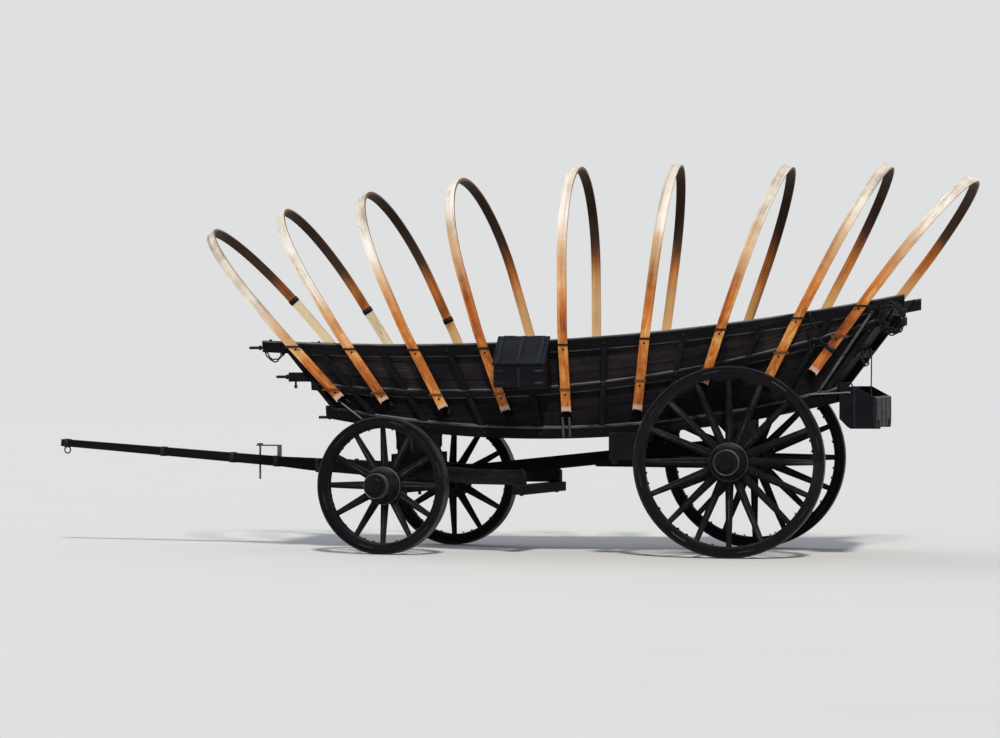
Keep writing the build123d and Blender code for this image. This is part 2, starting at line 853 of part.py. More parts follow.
hasp_width, hasp_thickness = hasp_iron
with BuildPart() as hasp:
    bar_high = pin_top - head_depth - seam
    bar_low = bar_high - hasp_thickness
    heel, toe = hammer_pin_at - hasp_length, hammer_pin_at - hasp_length + hasp_foot
    with BuildSketch(gear_side):
        polygon(
            [
                (-hammer_pin_at - hasp_eye, bar_low),
                (-toe, bar_low),
                (-toe, tongue_line(toe, 1) + seam),
                (-heel, tongue_line(heel, 1) + seam),
                (-heel, bar_high),
                (-hammer_pin_at - hasp_eye, bar_high),
            ]
        )
    extrude(amount=hasp_width / 2, both=True)
    with BuildSketch(gear.offset(bar_low - hasp_thickness)):
        with Locations((-hammer_pin_at, 0)):
            Circle(hammer_pin_radius + seam)
    extrude(amount=3 * hasp_thickness, mode=Mode.SUBTRACT)
save(hasp, "tongue_hasp")

# Rear hounds brace the axle to the reach
with BuildPart() as rear_hounds:
    low = rear_axle_top - rear_axle_depth + rear_hound_rise
    for side in (-1, 1):
        inner = reach_width / 2 + seam
        start_x = rear_axle_x - half_axle - seam
        tip_x = rear_axle_x - rear_hound_reach
        with BuildSketch(Plane.XY.offset(low)):
            polygon(
                [
                    (start_x, side * rear_hound_spread),
                    (start_x, side * (rear_hound_spread - rear_hound_thickness)),
                    (tip_x + rear_hound_bevel, side * inner),
                    (tip_x, side * inner),
                    (tip_x, side * (inner + rear_hound_thickness / 2)),
                ]
            )
        extrude(amount=rear_hound_depth)
save(rear_hounds, "rear_hounds")

# Brake: a beam across in front of the rear wheels, with a shoe at each end facing the tyre
beam_width, beam_depth = brake_beam_section
with BuildPart() as brake:
    beam_x = at(brake_beam_station)
    bed_low = sag(bottom_line, brake_beam_station)
    beam_top = min(bed_low, sag(bottom_line, brake_beam_station - beam_width / 2)) - seam
    with Locations((beam_x, 0, beam_top - beam_depth / 2)):
        Box(beam_width, track + shoe_width, beam_depth)
    swing = rear_wheel_radius + shoe_gap
    for side in (-1, 1):
        with BuildSketch(Plane.XZ.offset(-side * track / 2)):
            with Locations((beam_x - shoe_back, shoe_top)):
                Rectangle(swing, shoe_length, align=(Align.MIN, Align.MAX))
            with Locations((rear_axle_x, rear_wheel_radius)):
                Circle(swing, mode=Mode.SUBTRACT)
        extrude(amount=shoe_width / 2, both=True)
save(brake, "brake_beam")

# Wheels. Each stands in a plane whose origin is its centre and whose Z points out along the axle


def make_wheel(centre, radius, spokes, name):
    section = Plane(origin=centre.origin, x_dir=centre.x_dir, z_dir=-centre.y_dir)
    spin = Axis(centre.origin, centre.z_dir)
    felloe_outer = radius - tyre_thickness - seam
    felloe_inner = felloe_outer - felloe_depth

    with BuildPart() as tyre:
        with BuildSketch(section):
            with Locations((radius - tyre_thickness / 2, 0)):
                Rectangle(tyre_thickness, tyre_width)
        revolve(axis=spin)
    save(tyre, f"{name}_tyre")

    with BuildPart() as felloes:
        with BuildSketch(section):
            with Locations(((felloe_outer + felloe_inner) / 2, 0)):
                rim = Rectangle(felloe_depth, felloe_width)
            corners = rim.vertices().sort_by(Axis(centre.origin, centre.x_dir))[:2]
            chamfer(corners, felloe_width / 6)
        revolve(axis=spin)
    save(felloes, f"{name}_felloes")

    foot_width, foot_thickness = spoke_foot
    tip_width, tip_thickness = spoke_tip
    with BuildPart() as spoke:
        with BuildSketch(Plane.YZ.offset(nave_radius * 0.8)):
            with Locations((0, -dish)):
                Ellipse(foot_width / 2, foot_thickness / 2)
        with BuildSketch(Plane.YZ.offset(felloe_inner - 1)):
            Ellipse(tip_width / 2, tip_thickness / 2)
        loft()

    with BuildPart(centre) as hub:
        with BuildSketch(section):
            with BuildLine():
                bore = arm_radius + arm_play
                back, front = -dish - nave_back, -dish + nave_front
                back_band, front_band = back + nave_back_band, front - nave_front_band
                middle_back, middle_front = -dish - nave_middle, -dish + nave_middle
                Polyline((bore, front), (bore, back), (nave_back_radius, back), (nave_back_radius, back_band))
                ThreePointArc(
                    (nave_back_radius, back_band),
                    (nave_radius * 0.92, back + nave_swell),
                    (nave_radius, middle_back),
                )
                Line((nave_radius, middle_back), (nave_radius, middle_front))
                ThreePointArc(
                    (nave_radius, middle_front),
                    (nave_radius * 0.9, front - nave_swell),
                    (nave_front_radius, front_band),
                )
                Polyline((nave_front_radius, front_band), (nave_front_radius, front), (bore, front))
            make_face()
        revolve(axis=spin)
        with PolarLocations(0, spokes):
            add(spoke.part)
    save(hub, f"{name}_hub")


for side, hand in [(-1, "left"), (1, "right")]:
    front_centre = Plane(
        origin=gear.from_local_coords((0, side * track / 2, front_wheel_radius)),
        x_dir=gear.x_dir,
        z_dir=side * gear.y_dir,
    )
    rear_centre = Plane(
        origin=(rear_axle_x, side * track / 2, rear_wheel_radius), x_dir=(1, 0, 0), z_dir=(0, side, 0)
    )
    make_wheel(front_centre, front_wheel_radius, front_spokes, f"front_{hand}")
    make_wheel(rear_centre, rear_wheel_radius, rear_spokes, f"rear_{hand}")
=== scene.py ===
# %% [markdown]
# # A freight wagon with bare bows
# This lesson dresses a packed CAD model of a horse-age freight wagon: a boat-shaped oak bed, nine bent-wood
# bows, four spoked wheels and a long tongue. The CAD gives the shapes. Here they get weathered wood and
# wrought iron, and the small ironwork that a smith would add: bolts, nails, bands, straps, rings and
# chains.

# %% Load the frame
import bpy
import json
from math import cos, pi, radians, sin, sqrt, tan
from mathutils import Matrix, Vector


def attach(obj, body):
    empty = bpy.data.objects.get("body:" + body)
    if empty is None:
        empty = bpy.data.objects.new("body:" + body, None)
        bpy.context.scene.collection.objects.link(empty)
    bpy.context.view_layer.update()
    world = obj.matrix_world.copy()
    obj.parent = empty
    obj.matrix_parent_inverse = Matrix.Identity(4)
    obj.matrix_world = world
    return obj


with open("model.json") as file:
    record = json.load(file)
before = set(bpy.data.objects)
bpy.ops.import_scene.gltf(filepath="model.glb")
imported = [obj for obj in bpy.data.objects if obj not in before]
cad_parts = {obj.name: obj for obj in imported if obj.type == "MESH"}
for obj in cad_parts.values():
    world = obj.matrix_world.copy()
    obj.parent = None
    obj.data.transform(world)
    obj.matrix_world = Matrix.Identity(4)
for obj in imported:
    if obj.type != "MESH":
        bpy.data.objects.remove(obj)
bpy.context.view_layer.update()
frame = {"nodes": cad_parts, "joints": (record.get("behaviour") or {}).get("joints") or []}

# %% [markdown]
# ## Nodes written as sums
# Both materials and Geometry Nodes are graphs. Wiring them by hand hides the idea, so one small class wraps
# a socket and overloads the operators: `1 - mask` then adds a Math node. Everything else goes through
# `add`, which takes a node's type, its settings, and what its sockets get.

# %% A class for sockets


class Num:
    """A node's output that takes part in Python sums."""

    def __init__(self, net, socket):
        self.net, self.socket = net, socket

    def math(self, operation, *others):
        return self.net.math(operation, self, *others)

    def output(self, out):
        """Another output of the same node."""
        return Num(self.net, self.socket.node.outputs[out])

    def __add__(self, other):
        return self.math("ADD", other)

    def __sub__(self, other):
        return self.math("SUBTRACT", other)

    def __rsub__(self, other):
        return self.net.math("SUBTRACT", other, self)

    def __mul__(self, other):
        return self.math("MULTIPLY", other)

    def __truediv__(self, other):
        return self.math("DIVIDE", other)

    def __abs__(self):
        return self.math("ABSOLUTE")

    __radd__, __rmul__ = __add__, __mul__


print("operators:", [name for name in vars(Num) if name.startswith("__r")])

# %% [markdown]
# The other class is the tree itself. Its short methods name what the finishes below do most: noise, a
# colour ramp, a smooth rise between two values, a mix of two colours.

# %% A class for trees


class Net:
    """A node tree under construction."""

    def __init__(self, tree):
        self.tree = tree

    def add(self, kind, settings=None, inputs=None, out=0):
        node = self.tree.nodes.new(kind)
        for key, value in (settings or {}).items():
            if key == "stops":
                ramp = node.color_ramp
                while len(ramp.elements) < len(value):
                    ramp.elements.new(1.0)
                for element, (place, colour) in zip(ramp.elements, value):
                    element.position, element.color = place, (*colour, 1.0)
            else:
                setattr(node, key, value)
        for key, value in (inputs or {}).items():
            if isinstance(value, Num):
                self.tree.links.new(value.socket, node.inputs[key])
            else:
                node.inputs[key].default_value = value
        return Num(self, node.outputs[out]) if node.outputs else None

    def math(self, operation, *values):
        return self.add("ShaderNodeMath", {"operation": operation}, dict(enumerate(values)))

    def vector(self, x, y, z):
        return self.add("ShaderNodeCombineXYZ", {}, {0: x, 1: y, 2: z})

    def split(self, vector):
        first = self.add("ShaderNodeSeparateXYZ", {}, {0: vector})
        return [first.output(axis) for axis in range(3)]

    def noise(self, vector, scale, detail=3.0, roughness=0.5, distortion=0.0):
        inputs = {"Vector": vector, "Scale": scale, "Detail": detail, "Roughness": roughness}
        return self.add("ShaderNodeTexNoise", {}, {**inputs, "Distortion": distortion})

    def ramp(self, value, *stops):
        return self.add("ShaderNodeValToRGB", {"stops": stops}, {0: value})

    def rise(self, value, low, high):
        """0 below low, 1 above high, smooth between; with low above high it falls instead."""
        ends = {1: low, 2: high, 3: 0.0, 4: 1.0} if low <= high else {1: high, 2: low, 3: 1.0, 4: 0.0}
        return self.add("ShaderNodeMapRange", {"interpolation_type": "SMOOTHSTEP"}, {0: value, **ends})

    def mix(self, share, first, second, blend="MIX"):
        """Colour first where share is 0, second where it is 1."""
        colours = {key: (*c, 1.0) if isinstance(c, tuple) else c for key, c in ((6, first), (7, second))}
        settings = {"data_type": "RGBA", "blend_type": blend}
        return self.add("ShaderNodeMix", settings, {0: share, **colours}, out=2)

    def tint(self, share, colour, factors):
        """Where share is 1, the colour's red, green and blue are multiplied by the factors."""
        return self.mix(share, colour, self.mix(1.0, colour, factors, "MULTIPLY"))

    def spread(self, value, low, high):
        """Takes 0 to 1 onto low to high."""
        return value * (high - low) + low


print("a tree's methods:", [name for name in vars(Net) if not name.startswith("__")])

# %% [markdown]
# ## Where things are
# The CAD's lines are known: the bed is bounded by three sagging arcs, and the sides lean out by a fixed
# angle. The same few numbers are repeated here in metres, so bolts and straps land on the wood by
# calculation and not by eye. A station is a distance behind the rear axle.

# %% Lines, sides and ends of the bed
UP, DOWN, AHEAD, BACK = (Vector(way) for way in ((0, 0, 1), (0, 0, -1), (-1, 0, 0), (1, 0, 0)))
SIDES = ((-1, "left"), (1, "right"))
JOINTS = {joint["name"]: joint for joint in frame["joints"]}
REAR_X, KINGPIN_X = (JOINTS[name]["pos_m"][0] for name in ("rear_left_wheel_spin", "steer"))
# Each line: the lowest point's station, its height, and the radius
BOTTOM, MIDDLE, TOP = (-1.590, 0.935, 9.370), (-2.300, 1.268, 11.000), (-2.650, 1.692, 21.250)
FLARE, FLARE_HALF, FLARE_HEIGHT = radians(14.6), 0.785, 1.700
# Heights of the sill and the two rails, the frame's thickness, a post's width
SILL, MIDDLE_RAIL, TOP_RAIL, FRAME_THICK, POST = 0.095, 0.058, 0.088, 0.038, 0.046
# The hair of room that the CAD leaves between touching parts
SEAM = 0.0003
# Each end: the foot's station and height, the rake, and which way is out
FRONT_FOOT, REAR_FOOT = (-3.218, 1.077, radians(37.0), -1), (0.705, 1.215, radians(36.5), 1)


def sag(line, station):
    return line[1] + line[2] - sqrt(line[2] ** 2 - (station - line[0]) ** 2)


def half_width(height):
    return FLARE_HALF + (height - FLARE_HEIGHT) * tan(FLARE)


def side_normal(side):
    return Vector((0, side * cos(FLARE), -sin(FLARE)))


def on_side(side, station, height, out=0.0):
    """A point this far outside the side frame's outer face; side is -1 for the left and 1 for the right."""
    return Vector((REAR_X + station, side * half_width(height), height)) + side_normal(side) * out


def end_station(end, height, inset=0.0):
    foot, foot_height, rake, way = end
    return foot + way * ((height - foot_height) * tan(rake) - inset / cos(rake))


def meet(end, line, rise, inset=0.0):
    """Station and height where an end's line crosses a height above a sagging line."""
    height = end[1]
    for _ in range(30):
        height = sag(line, end_station(end, height, inset)) + rise
    return end_station(end, height, inset), height


print("rear axle at", REAR_X, "and kingpin at", KINGPIN_X)

# %% [markdown]
# ### The nine bows and the posts between them
# A bow's plane leans along the wagon and is twisted a little about the vertical, and each leg splays so
# that it lies on the flared side. The class works these out once, so a bolt or a clasp can be placed by its
# distance down a leg, or by its rise above the rail.

# %% Bows
# The strip's size, and how high above the rail a leg goes over into the arch
BOW_WIDTH, BOW_THICKNESS, BOW_KNEE = 0.076, 0.020, 0.095
# Each bow: station at the top rail, twist and lean in degrees, leg below the rail, crown above it
BOWS = [
    (-3.637, -2.5, -41.4, 0.612, 1.242),
    (-3.140, -1.2, -32.4, 0.548, 1.323),
    (-2.562, 1.6, -24.5, 0.563, 1.389),
    (-1.953, 3.5, -16.3, 0.569, 1.420),
    (-1.346, -0.4, -0.4, 0.581, 1.422),
    (-0.715, -3.2, 7.6, 0.619, 1.397),
    (-0.066, -1.0, 19.3, 0.498, 1.371),
    (0.563, -0.5, 27.7, 0.626, 1.356),
    (1.116, 2.5, 37.5, 0.700, 1.254),
]


class Bow:
    """The plane, the two legs and the arch of one bow."""

    def __init__(self, row):
        self.station, twist, lean, self.drop, self.crown = row
        twist, self.lean = radians(twist), radians(lean)
        self.base = Vector((REAR_X + self.station, 0, sag(TOP, self.station)))
        self.across = Vector((sin(twist), cos(twist), 0))
        leaned = sin(self.lean)
        self.up = Vector((leaned * cos(twist), -leaned * sin(twist), cos(self.lean)))
        self.legs = {}
        for side in (-1, 1):
            splay = (cos(self.lean) * tan(FLARE) + side * leaned * sin(twist)) / cos(twist)
            room = BOW_WIDTH / 2 * abs(leaned * tan(FLARE) - side * sin(twist) * cos(self.lean))
            beside = half_width(self.base.z) + room + (SEAM + BOW_THICKNESS / 2) / cos(FLARE)
            self.legs[side] = (beside / cos(twist), splay)
        knees = [side * (reach + BOW_KNEE * splay) for side, (reach, splay) in self.legs.items()]
        self.arch_middle, self.arch_radius = sum(knees) / 2, (knees[1] - knees[0]) / 2
        self.shoulder = self.crown - self.arch_radius

    def leg(self, side, down, out=0.0):
        """A point on a leg's outer face, this far down from the top rail's height."""
        reach, splay = self.legs[side]
        beside = reach - down * splay + BOW_THICKNESS / 2 + out
        return self.base + self.across * side * beside - self.up * down

    def strip(self, side, rise):
        """The middle of the strip at a rise above the knee, with the outward direction there."""
        over = max(0.0, rise - self.shoulder)
        run = sqrt(self.arch_radius**2 - over**2)
        out = (self.across * side * run + self.up * over) / self.arch_radius
        return self.base + self.across * (self.arch_middle + side * run) + self.up * rise, out


bows = [Bow(row) for row in BOWS]
print(len(bows), "bows with arch radii", [round(bow.arch_radius, 3) for bow in bows])

# %% [markdown]
# Between two bows stands one post of the side frame, halfway at the top rail and raked by the mean of their
# leans, so the posts fan out toward the ends like the bows.

# %% Posts
posts = []
for front, back in zip(BOWS, BOWS[1:]):
    twist = sin(radians(front[1])) + sin(radians(back[1]))
    head = (front[0] + back[0] - FLARE_HALF * twist) / 2
    foot = head - (sag(TOP, head) - sag(BOTTOM, head)) * tan(radians((front[2] + back[2]) / 2))
    posts.append((foot, head))
print(len(posts), "inner posts on each side")

# %% [markdown]
# ## From a name to a finish
# Every material here starts from the same shader and ends by feeding it a colour, a roughness and bumps. Two
# helpers do that, and keep each material under its name, so that later cells can ask for it. What doesn't
# vary over the surface is set on the shader's own socket.

# %% Start and end of a material
finishes = {}


def start_material(name):
    material = bpy.data.materials.new(name)
    material.use_nodes = True
    finishes[name] = material
    net = Net(material.node_tree)
    net.shader = material.node_tree.nodes["Principled BSDF"]
    return net


def finish_material(net, colour, roughness, height=None, metallic=None, depth=0.002, gloss=None):
    """Wires what varies, and sets on the shader's own sockets what is the same all over."""
    fed = {"Base Color": colour, "Roughness": roughness, "Metallic": metallic, "Specular IOR Level": gloss}
    if height is not None:
        fed["Normal"] = net.add("ShaderNodeBump", {}, {"Strength": 0.7, "Distance": depth, "Height": height})
    for key, value in fed.items():
        if isinstance(value, Num):
            net.tree.links.new(value.socket, net.shader.inputs[key])
        elif value is not None:
            net.shader.inputs[key].default_value = value


print("finishes so far:", len(finishes))

# %% [markdown]
# ## Weathered wood
# Old oak shows four things at different sizes: fine fibres, broad growth bands, long drying cracks, and
# stains that ignore the grain. An image would do it, but stretched noise does it at any distance and needs
# no file. The trick is a coordinate that runs along the grain: noise that is slow along it and fast across
# it looks like wood.

# %% Places on a piece, and the grain there


def place_and_normal(net):
    place = net.add("ShaderNodeTexCoord", out="Object")
    normal = net.add("ShaderNodeTexCoord", out="Normal")
    return place, net.split(place), net.split(normal)


def from_point(place, start):
    return [axis - begin for axis, begin in zip(place, start)]


def along_line(parts, line):
    """How far a place or a direction, given as three Nums, reaches along a fixed line."""
    return parts[0] * line.x + parts[1] * line.y + parts[2] * line.z


def grain(net, along, across, deep, seed=0.0):
    """Fibres, bands, cracks and streaks, each from 0 to 1, in metres along and across the grain."""

    def stretched(slow, fast, detail, roughness, distortion=0.0):
        cell = net.vector(along * slow + seed, across * fast, deep * fast)
        return net.noise(cell, 1.0, detail, roughness, distortion)

    fibres = stretched(6.0, 300.0, 4.0, 0.65)
    bands = stretched(1.1, 34.0, 4.0, 0.55, 0.8)
    streaks = stretched(0.5, 9.0, 3.0, 0.6)
    cracks = net.rise(abs(stretched(1.6, 46.0, 2.0, 0.5, 0.3) - 0.5), 0.013, 0.002)
    gaps = net.rise(stretched(0.7, 5.0, 2.0, 0.5), 0.5, 0.58)
    return fibres, bands, cracks * gaps, streaks


print("grain layers: fibres, bands, cracks, streaks")

# %% [markdown]
# One function makes any wood from these layers. The tones run along a ramp, cracks are darker than the
# darkest tone, and what faces up gets a second colour: settled dust on most woods, and on the toolbox lid a
# painted bluish reflection of the sky. A finish that needs more, such as board seams, passes a function of
# its own, which is called last.

# %% Wood
# Where the four tones sit on the ramp, from dark to light
TONE_PLACES = (0.30, 0.44, 0.56, 0.72)


def wood(name, tones, lay, dust_and_sheen=(0.15, 0.145, 0.135), dust_and_sheen_share=0.5, seed=0.0, extra=None, rough=(0.62, 0.9)):
    """Wood in four tones from dark to light. lay(net, place) gives the distance along, across and into it."""
    net = start_material(name)
    vector, place, normal = place_and_normal(net)
    fibres, bands, cracks, streaks = grain(net, *lay(net, place), seed)
    blotch = net.noise(vector, 2.3, 4.0, 0.6)
    tone = bands * 0.42 + fibres * 0.2 + streaks * 0.38 + (blotch - 0.5) * 0.25
    colour = net.ramp(tone, *zip(TONE_PLACES, tones))
    colour = net.mix(cracks * 0.8, colour, tuple(c * 0.25 for c in tones[0]))
    # What faces up takes the dust colour; on the toolbox lid that colour is a painted reflection of the sky
    dust_and_sheen_mask = net.rise(normal[2], 0.55, 0.93) * net.rise(blotch + fibres * 0.3, 0.45, 0.8)
    colour = net.mix(dust_and_sheen_mask * dust_and_sheen_share, colour, dust_and_sheen)
    height = fibres * 0.35 + bands * 0.4 - cracks * 1.4
    roughness = net.spread(fibres * 0.5 + blotch * 0.5, *rough)
    if extra:
        colour, roughness, height = extra(net, place, colour, roughness, height, fibres, blotch)
    finish_material(net, colour, roughness, height, depth=0.0025, gloss=0.09)


print("a wood has", len(TONE_PLACES), "tones, at", TONE_PLACES)

# %% [markdown]
# ### Which way the grain runs
# Each finish below only has to say which way its grain runs, and which four tones it has. Seams between
# boards are cut by the same coordinates, and White Noise fed with a board's number gives each board its own
# tone.

# %% Grain directions, board seams and tones


def lay_x(net, place):
    return place


def lay_y(net, place):
    return place[1], place[0], place[2]


def lay_toward(direction):
    """Grain along any fixed direction."""
    along = Vector(direction).normalized()
    across = along.cross(UP if abs(along.z) < 0.9 else Vector((0, 1, 0))).normalized()
    return lambda net, place: [along_line(place, line) for line in (along, across, along.cross(across))]


def own_tone(net, number, seed):
    return net.add("ShaderNodeTexWhiteNoise", {"noise_dimensions": "1D"}, {"W": number + seed})


def board_seams(axis, pitch, start=0.0):
    """Seams at an even pitch along one axis, each board in its own tone."""

    def extra(net, place, colour, roughness, height, fibres, blotch):
        steps = (place[axis] - start) / pitch
        colour = net.tint(own_tone(net, steps.math("FLOOR"), 0.61) * 0.7, colour, (0.5, 0.5, 0.54))
        seam = net.rise(abs(steps.math("FRACT") - 0.5), 0.475, 0.488)
        return net.mix(seam, colour, (0.004, 0.004, 0.004)), roughness, height - seam * 3.0

    return extra


BLACK_OAK = [(0.0012, 0.0012, 0.0016), (0.0026, 0.0026, 0.0034), (0.0052, 0.0052, 0.0068)]
BLACK_OAK += [(0.018, 0.017, 0.018)]
GREY_BOARD = [(0.004, 0.004, 0.006), (0.009, 0.009, 0.012), (0.017, 0.016, 0.019), (0.040, 0.036, 0.034)]
PALE_DUST = (0.17, 0.165, 0.155)
print("darkest oak", BLACK_OAK[0], "and palest board", GREY_BOARD[-1])

# %% [markdown]
# ## The side frames
# The frame's rails follow the sagging lines while its posts stand across them, in one CAD part. The
# material works out how far a point is above each line, so the grain turns where a post begins and the worn
# upper edges of the sill and middle rail come out pale, as on the real wagon.

# %% Where the rails are


def line_height(net, line, x):
    """Height of a sagging line, as nodes."""
    start, low, radius = line
    run = x - (REAR_X + start)
    return low + radius - net.math("SQRT", radius**2 - run * run)


def rail_masks(net, place):
    """For the sill, the middle rail and the top rail: the height above its line, and where the rail is."""
    masks = []
    for line, low, high in ((BOTTOM, 0, SILL), (MIDDLE, 0, MIDDLE_RAIL), (TOP, -TOP_RAIL, 0)):
        above = place[2] - line_height(net, line, place[0])
        masks.append((above, net.rise(above, low - 0.001, low) * net.rise(above, high + 0.001, high)))
    return masks


def lay_side_frame(net, place):
    """Grain along the rails, and up the posts between them."""
    masks = rail_masks(net, place)
    rail = (masks[0][1] + masks[1][1] + masks[2][1]).math("MINIMUM", 1.0)
    along = place[0] * rail + place[2] * (1 / cos(FLARE)) * (1 - rail)
    across = masks[1][0] * rail + place[0] * (1 - rail) + rail * 3.0
    return along, across, place[1]


print("rails: sill", SILL, "middle", MIDDLE_RAIL, "top", TOP_RAIL)

# %% [markdown]
# The wear follows the same masks: posts are a little greyer than rails, the worn edges are pale where noise
# breaks them up, and a fine dark line marks each joint.

# %% Side frame material


def side_frame_wear(net, place, colour, roughness, height, fibres, blotch):
    """Greyer posts, worn upper edges, and a dark joint along each rail."""
    (sill, in_sill), (middle, in_middle), (top, in_top) = rail_masks(net, place)
    post = (1 - in_sill - in_middle - in_top).math("MAXIMUM", 0.0)
    colour = net.tint(post * 0.8, colour, (1.5, 1.5, 1.6))

    def edge(above, top_at, wide):
        return net.rise(above, top_at - wide, top_at - wide + 0.010) * net.rise(above, top_at + 0.004, top_at)

    worn = edge(sill, SILL, 0.016) + edge(middle, MIDDLE_RAIL, 0.015) * 0.35
    worn = worn + net.rise(top, -0.010, -0.002) * 0.6
    breaks = net.rise(blotch * 0.6 + fibres * 0.4, 0.40, 0.56)
    colour = net.mix(worn * breaks * 0.75, colour, PALE_DUST)
    joints = [net.rise(abs(line), 0.003, 0.001) for line in (sill - SILL, middle, top + TOP_RAIL)]
    joints = joints[0] + joints[1] + joints[2]
    colour = net.mix(joints.math("MINIMUM", 1.0) * 0.7, colour, (0.004, 0.004, 0.005))
    return colour, roughness, height - joints * 0.8


wood("side_frame_oak", BLACK_OAK, lay_side_frame, dust_and_sheen=PALE_DUST, dust_and_sheen_share=0.85, extra=side_frame_wear)
print("materials so far:", len(finishes))

# %% [markdown]
# ## Side boards, floor and gates
# Behind each frame lie long boards whose seams follow the middle rail's line; they are browner toward the
# rear and darker below. The floor's boards run the length of the bed and the end gates' boards run across
# it. Mud and chaff collect on a floor, so it is browner and dustier than the sides.

# %% Boarded materials
BOARD_PITCH = 0.142


def lay_side_boards(net, place):
    return place[0], place[2] - line_height(net, MIDDLE, place[0]), place[1]


def side_board_tones(net, place, colour, roughness, height, fibres, blotch):
    above = place[2] - line_height(net, MIDDLE, place[0])
    own = own_tone(net, (above / BOARD_PITCH).math("FLOOR"), 0.37)
    colour = net.tint(own * 0.75, colour, (0.42, 0.44, 0.52))
    brown = (net.rise(own, 0.55, 0.75) + net.rise(place[0], 1.6, 2.9) * 0.8) * net.rise(blotch, 0.38, 0.58)
    colour = net.tint(brown * 0.6, colour, (3.2, 2.4, 1.8))
    colour = net.tint(net.rise(above, 0.02, -0.02) * 0.8, colour, (0.4, 0.4, 0.42))
    seam = net.rise(abs((above / BOARD_PITCH).math("FRACT") - 0.5), 0.478, 0.49)
    return net.mix(seam, colour, (0.0015, 0.0015, 0.0020)), roughness, height - seam * 3.0


wood("side_board_oak", GREY_BOARD, lay_side_boards, dust_and_sheen_share=0.3, extra=side_board_tones, seed=3.0)
FLOOR_TONES = [(0.012, 0.010, 0.009), (0.028, 0.024, 0.021), (0.052, 0.044, 0.037), (0.095, 0.080, 0.065)]
wood("floor_oak", FLOOR_TONES, lay_x, dust_and_sheen=(0.15, 0.13, 0.105), extra=board_seams(1, 0.152, 0.076), seed=5.0)
wood("gate_oak", GREY_BOARD, lay_y, dust_and_sheen_share=0.4, extra=board_seams(2, 0.135, 1.02), seed=7.0)
print("materials so far:", len(finishes))

# %% [markdown]
# ## Wrought iron
# Iron that stood outside is neither shiny nor simply orange. It is near-black with a low sheen, brown rust
# in its hollows, and a grey polish where it is rubbed. One function mixes those three by noise; how much
# rust and how much polish are its arguments, so chains, bands, bolts and staples stay one family.

# %% Iron


def iron(name, rust=0.35, polish=0.3, base=(0.012, 0.012, 0.015), extra=None):
    net = start_material(name)
    vector, place, _ = place_and_normal(net)
    broad = net.noise(vector, 5.0, 5.0, 0.6, 0.4)
    fine = net.noise(vector, 90.0, 4.0, 0.6)
    pits = net.add("ShaderNodeTexVoronoi", {"feature": "SMOOTH_F1"}, {"Vector": vector, "Scale": 55.0})
    rusty = net.rise(broad * 0.65 + fine * 0.35, 0.62 - 0.25 * rust, 0.74 - 0.2 * rust)
    rubbed = net.rise(fine * 0.5 + (1 - broad) * 0.5, 0.62 - 0.2 * polish, 0.72 - 0.1 * polish)
    colour = net.mix(fine, base, tuple(c * 1.9 for c in base))
    colour = net.mix(rusty * 0.75, colour, net.mix(fine, (0.030, 0.014, 0.009), (0.060, 0.029, 0.017)))
    colour = net.mix(rubbed * (1 - rusty) * polish, colour, (0.19, 0.19, 0.20))
    if extra:
        colour = extra(net, place, colour, fine)
    roughness = net.spread(rusty * 0.6 + fine * 0.4, 0.42, 0.86)
    metallic = net.spread(1 - rusty, 0.25, 0.85)
    height = broad * 0.5 + fine * 0.3 + pits * 0.5
    finish_material(net, colour, roughness, height, metallic, depth=0.0012, gloss=0.25)


def staple_rust(net, place, colour, fine):
    """The staples on the middle rail are brown with rust, those on the top rail are black."""
    below = net.rise(place[2] - line_height(net, TOP, place[0]), -0.12, -0.2)
    return net.mix(below * 0.85, colour, net.mix(fine, (0.110, 0.042, 0.016), (0.24, 0.105, 0.040)))


iron("black_iron")
iron("dark_iron", rust=0.1, polish=0.0, base=(0.003, 0.003, 0.004))
iron("worn_iron", rust=0.2, polish=0.75, base=(0.055, 0.055, 0.060))
iron("pale_iron", rust=0.1, polish=0.9, base=(0.13, 0.13, 0.135))
iron("staple_iron", extra=staple_rust)
print("irons:", [name for name in finishes if name.endswith("iron")])

# %% [markdown]
# ## Bent-wood bows
# Each bow is steamed ash bent over a form, so its grain follows the bend. The material knows the bow's
# plane and the middle of its arch: below the shoulders the grain coordinate is the height, and round the
# arch it is the angle times the radius. The same sums tell the strip's outer face from its inner one.

# %% Coordinates that follow a bow


def bow_place(net, place, normal, bow):
    """Length, width and depth in the strip, the rise above the top rail, and how far a face looks outward."""
    from_base = from_point(place, bow.base)
    side, rise = along_line(from_base, bow.across) - bow.arch_middle, along_line(from_base, bow.up)
    wide = along_line(from_base, bow.across.cross(bow.up))
    over = (rise - bow.shoulder).math("MAXIMUM", 0.0)
    radius = net.math("SQRT", side * side + over * over)
    angle = net.math("ARCTAN2", over, abs(side))
    length = rise.math("MINIMUM", bow.shoulder) + angle * bow.arch_radius
    outward = (along_line(normal, bow.across) * side + along_line(normal, bow.up) * over) / radius
    return (length, wide, radius - bow.arch_radius), rise, outward


print("shoulders", [round(bow.shoulder, 3) for bow in bows])

# %% [markdown]
# ### What the sun left of the bows' colour, and painted shade inside the arch
# The outer face near the crown is bleached to silver, and the inner face there is painted almost black:
# partly dark stain, and partly painted shade where the arch faces down. The legs keep their honey colour.
# Painting this by hand would need an image for each bow. Instead each bow has a height where bleaching
# begins, and a height below which the inner face is pale; noise frays both borders.

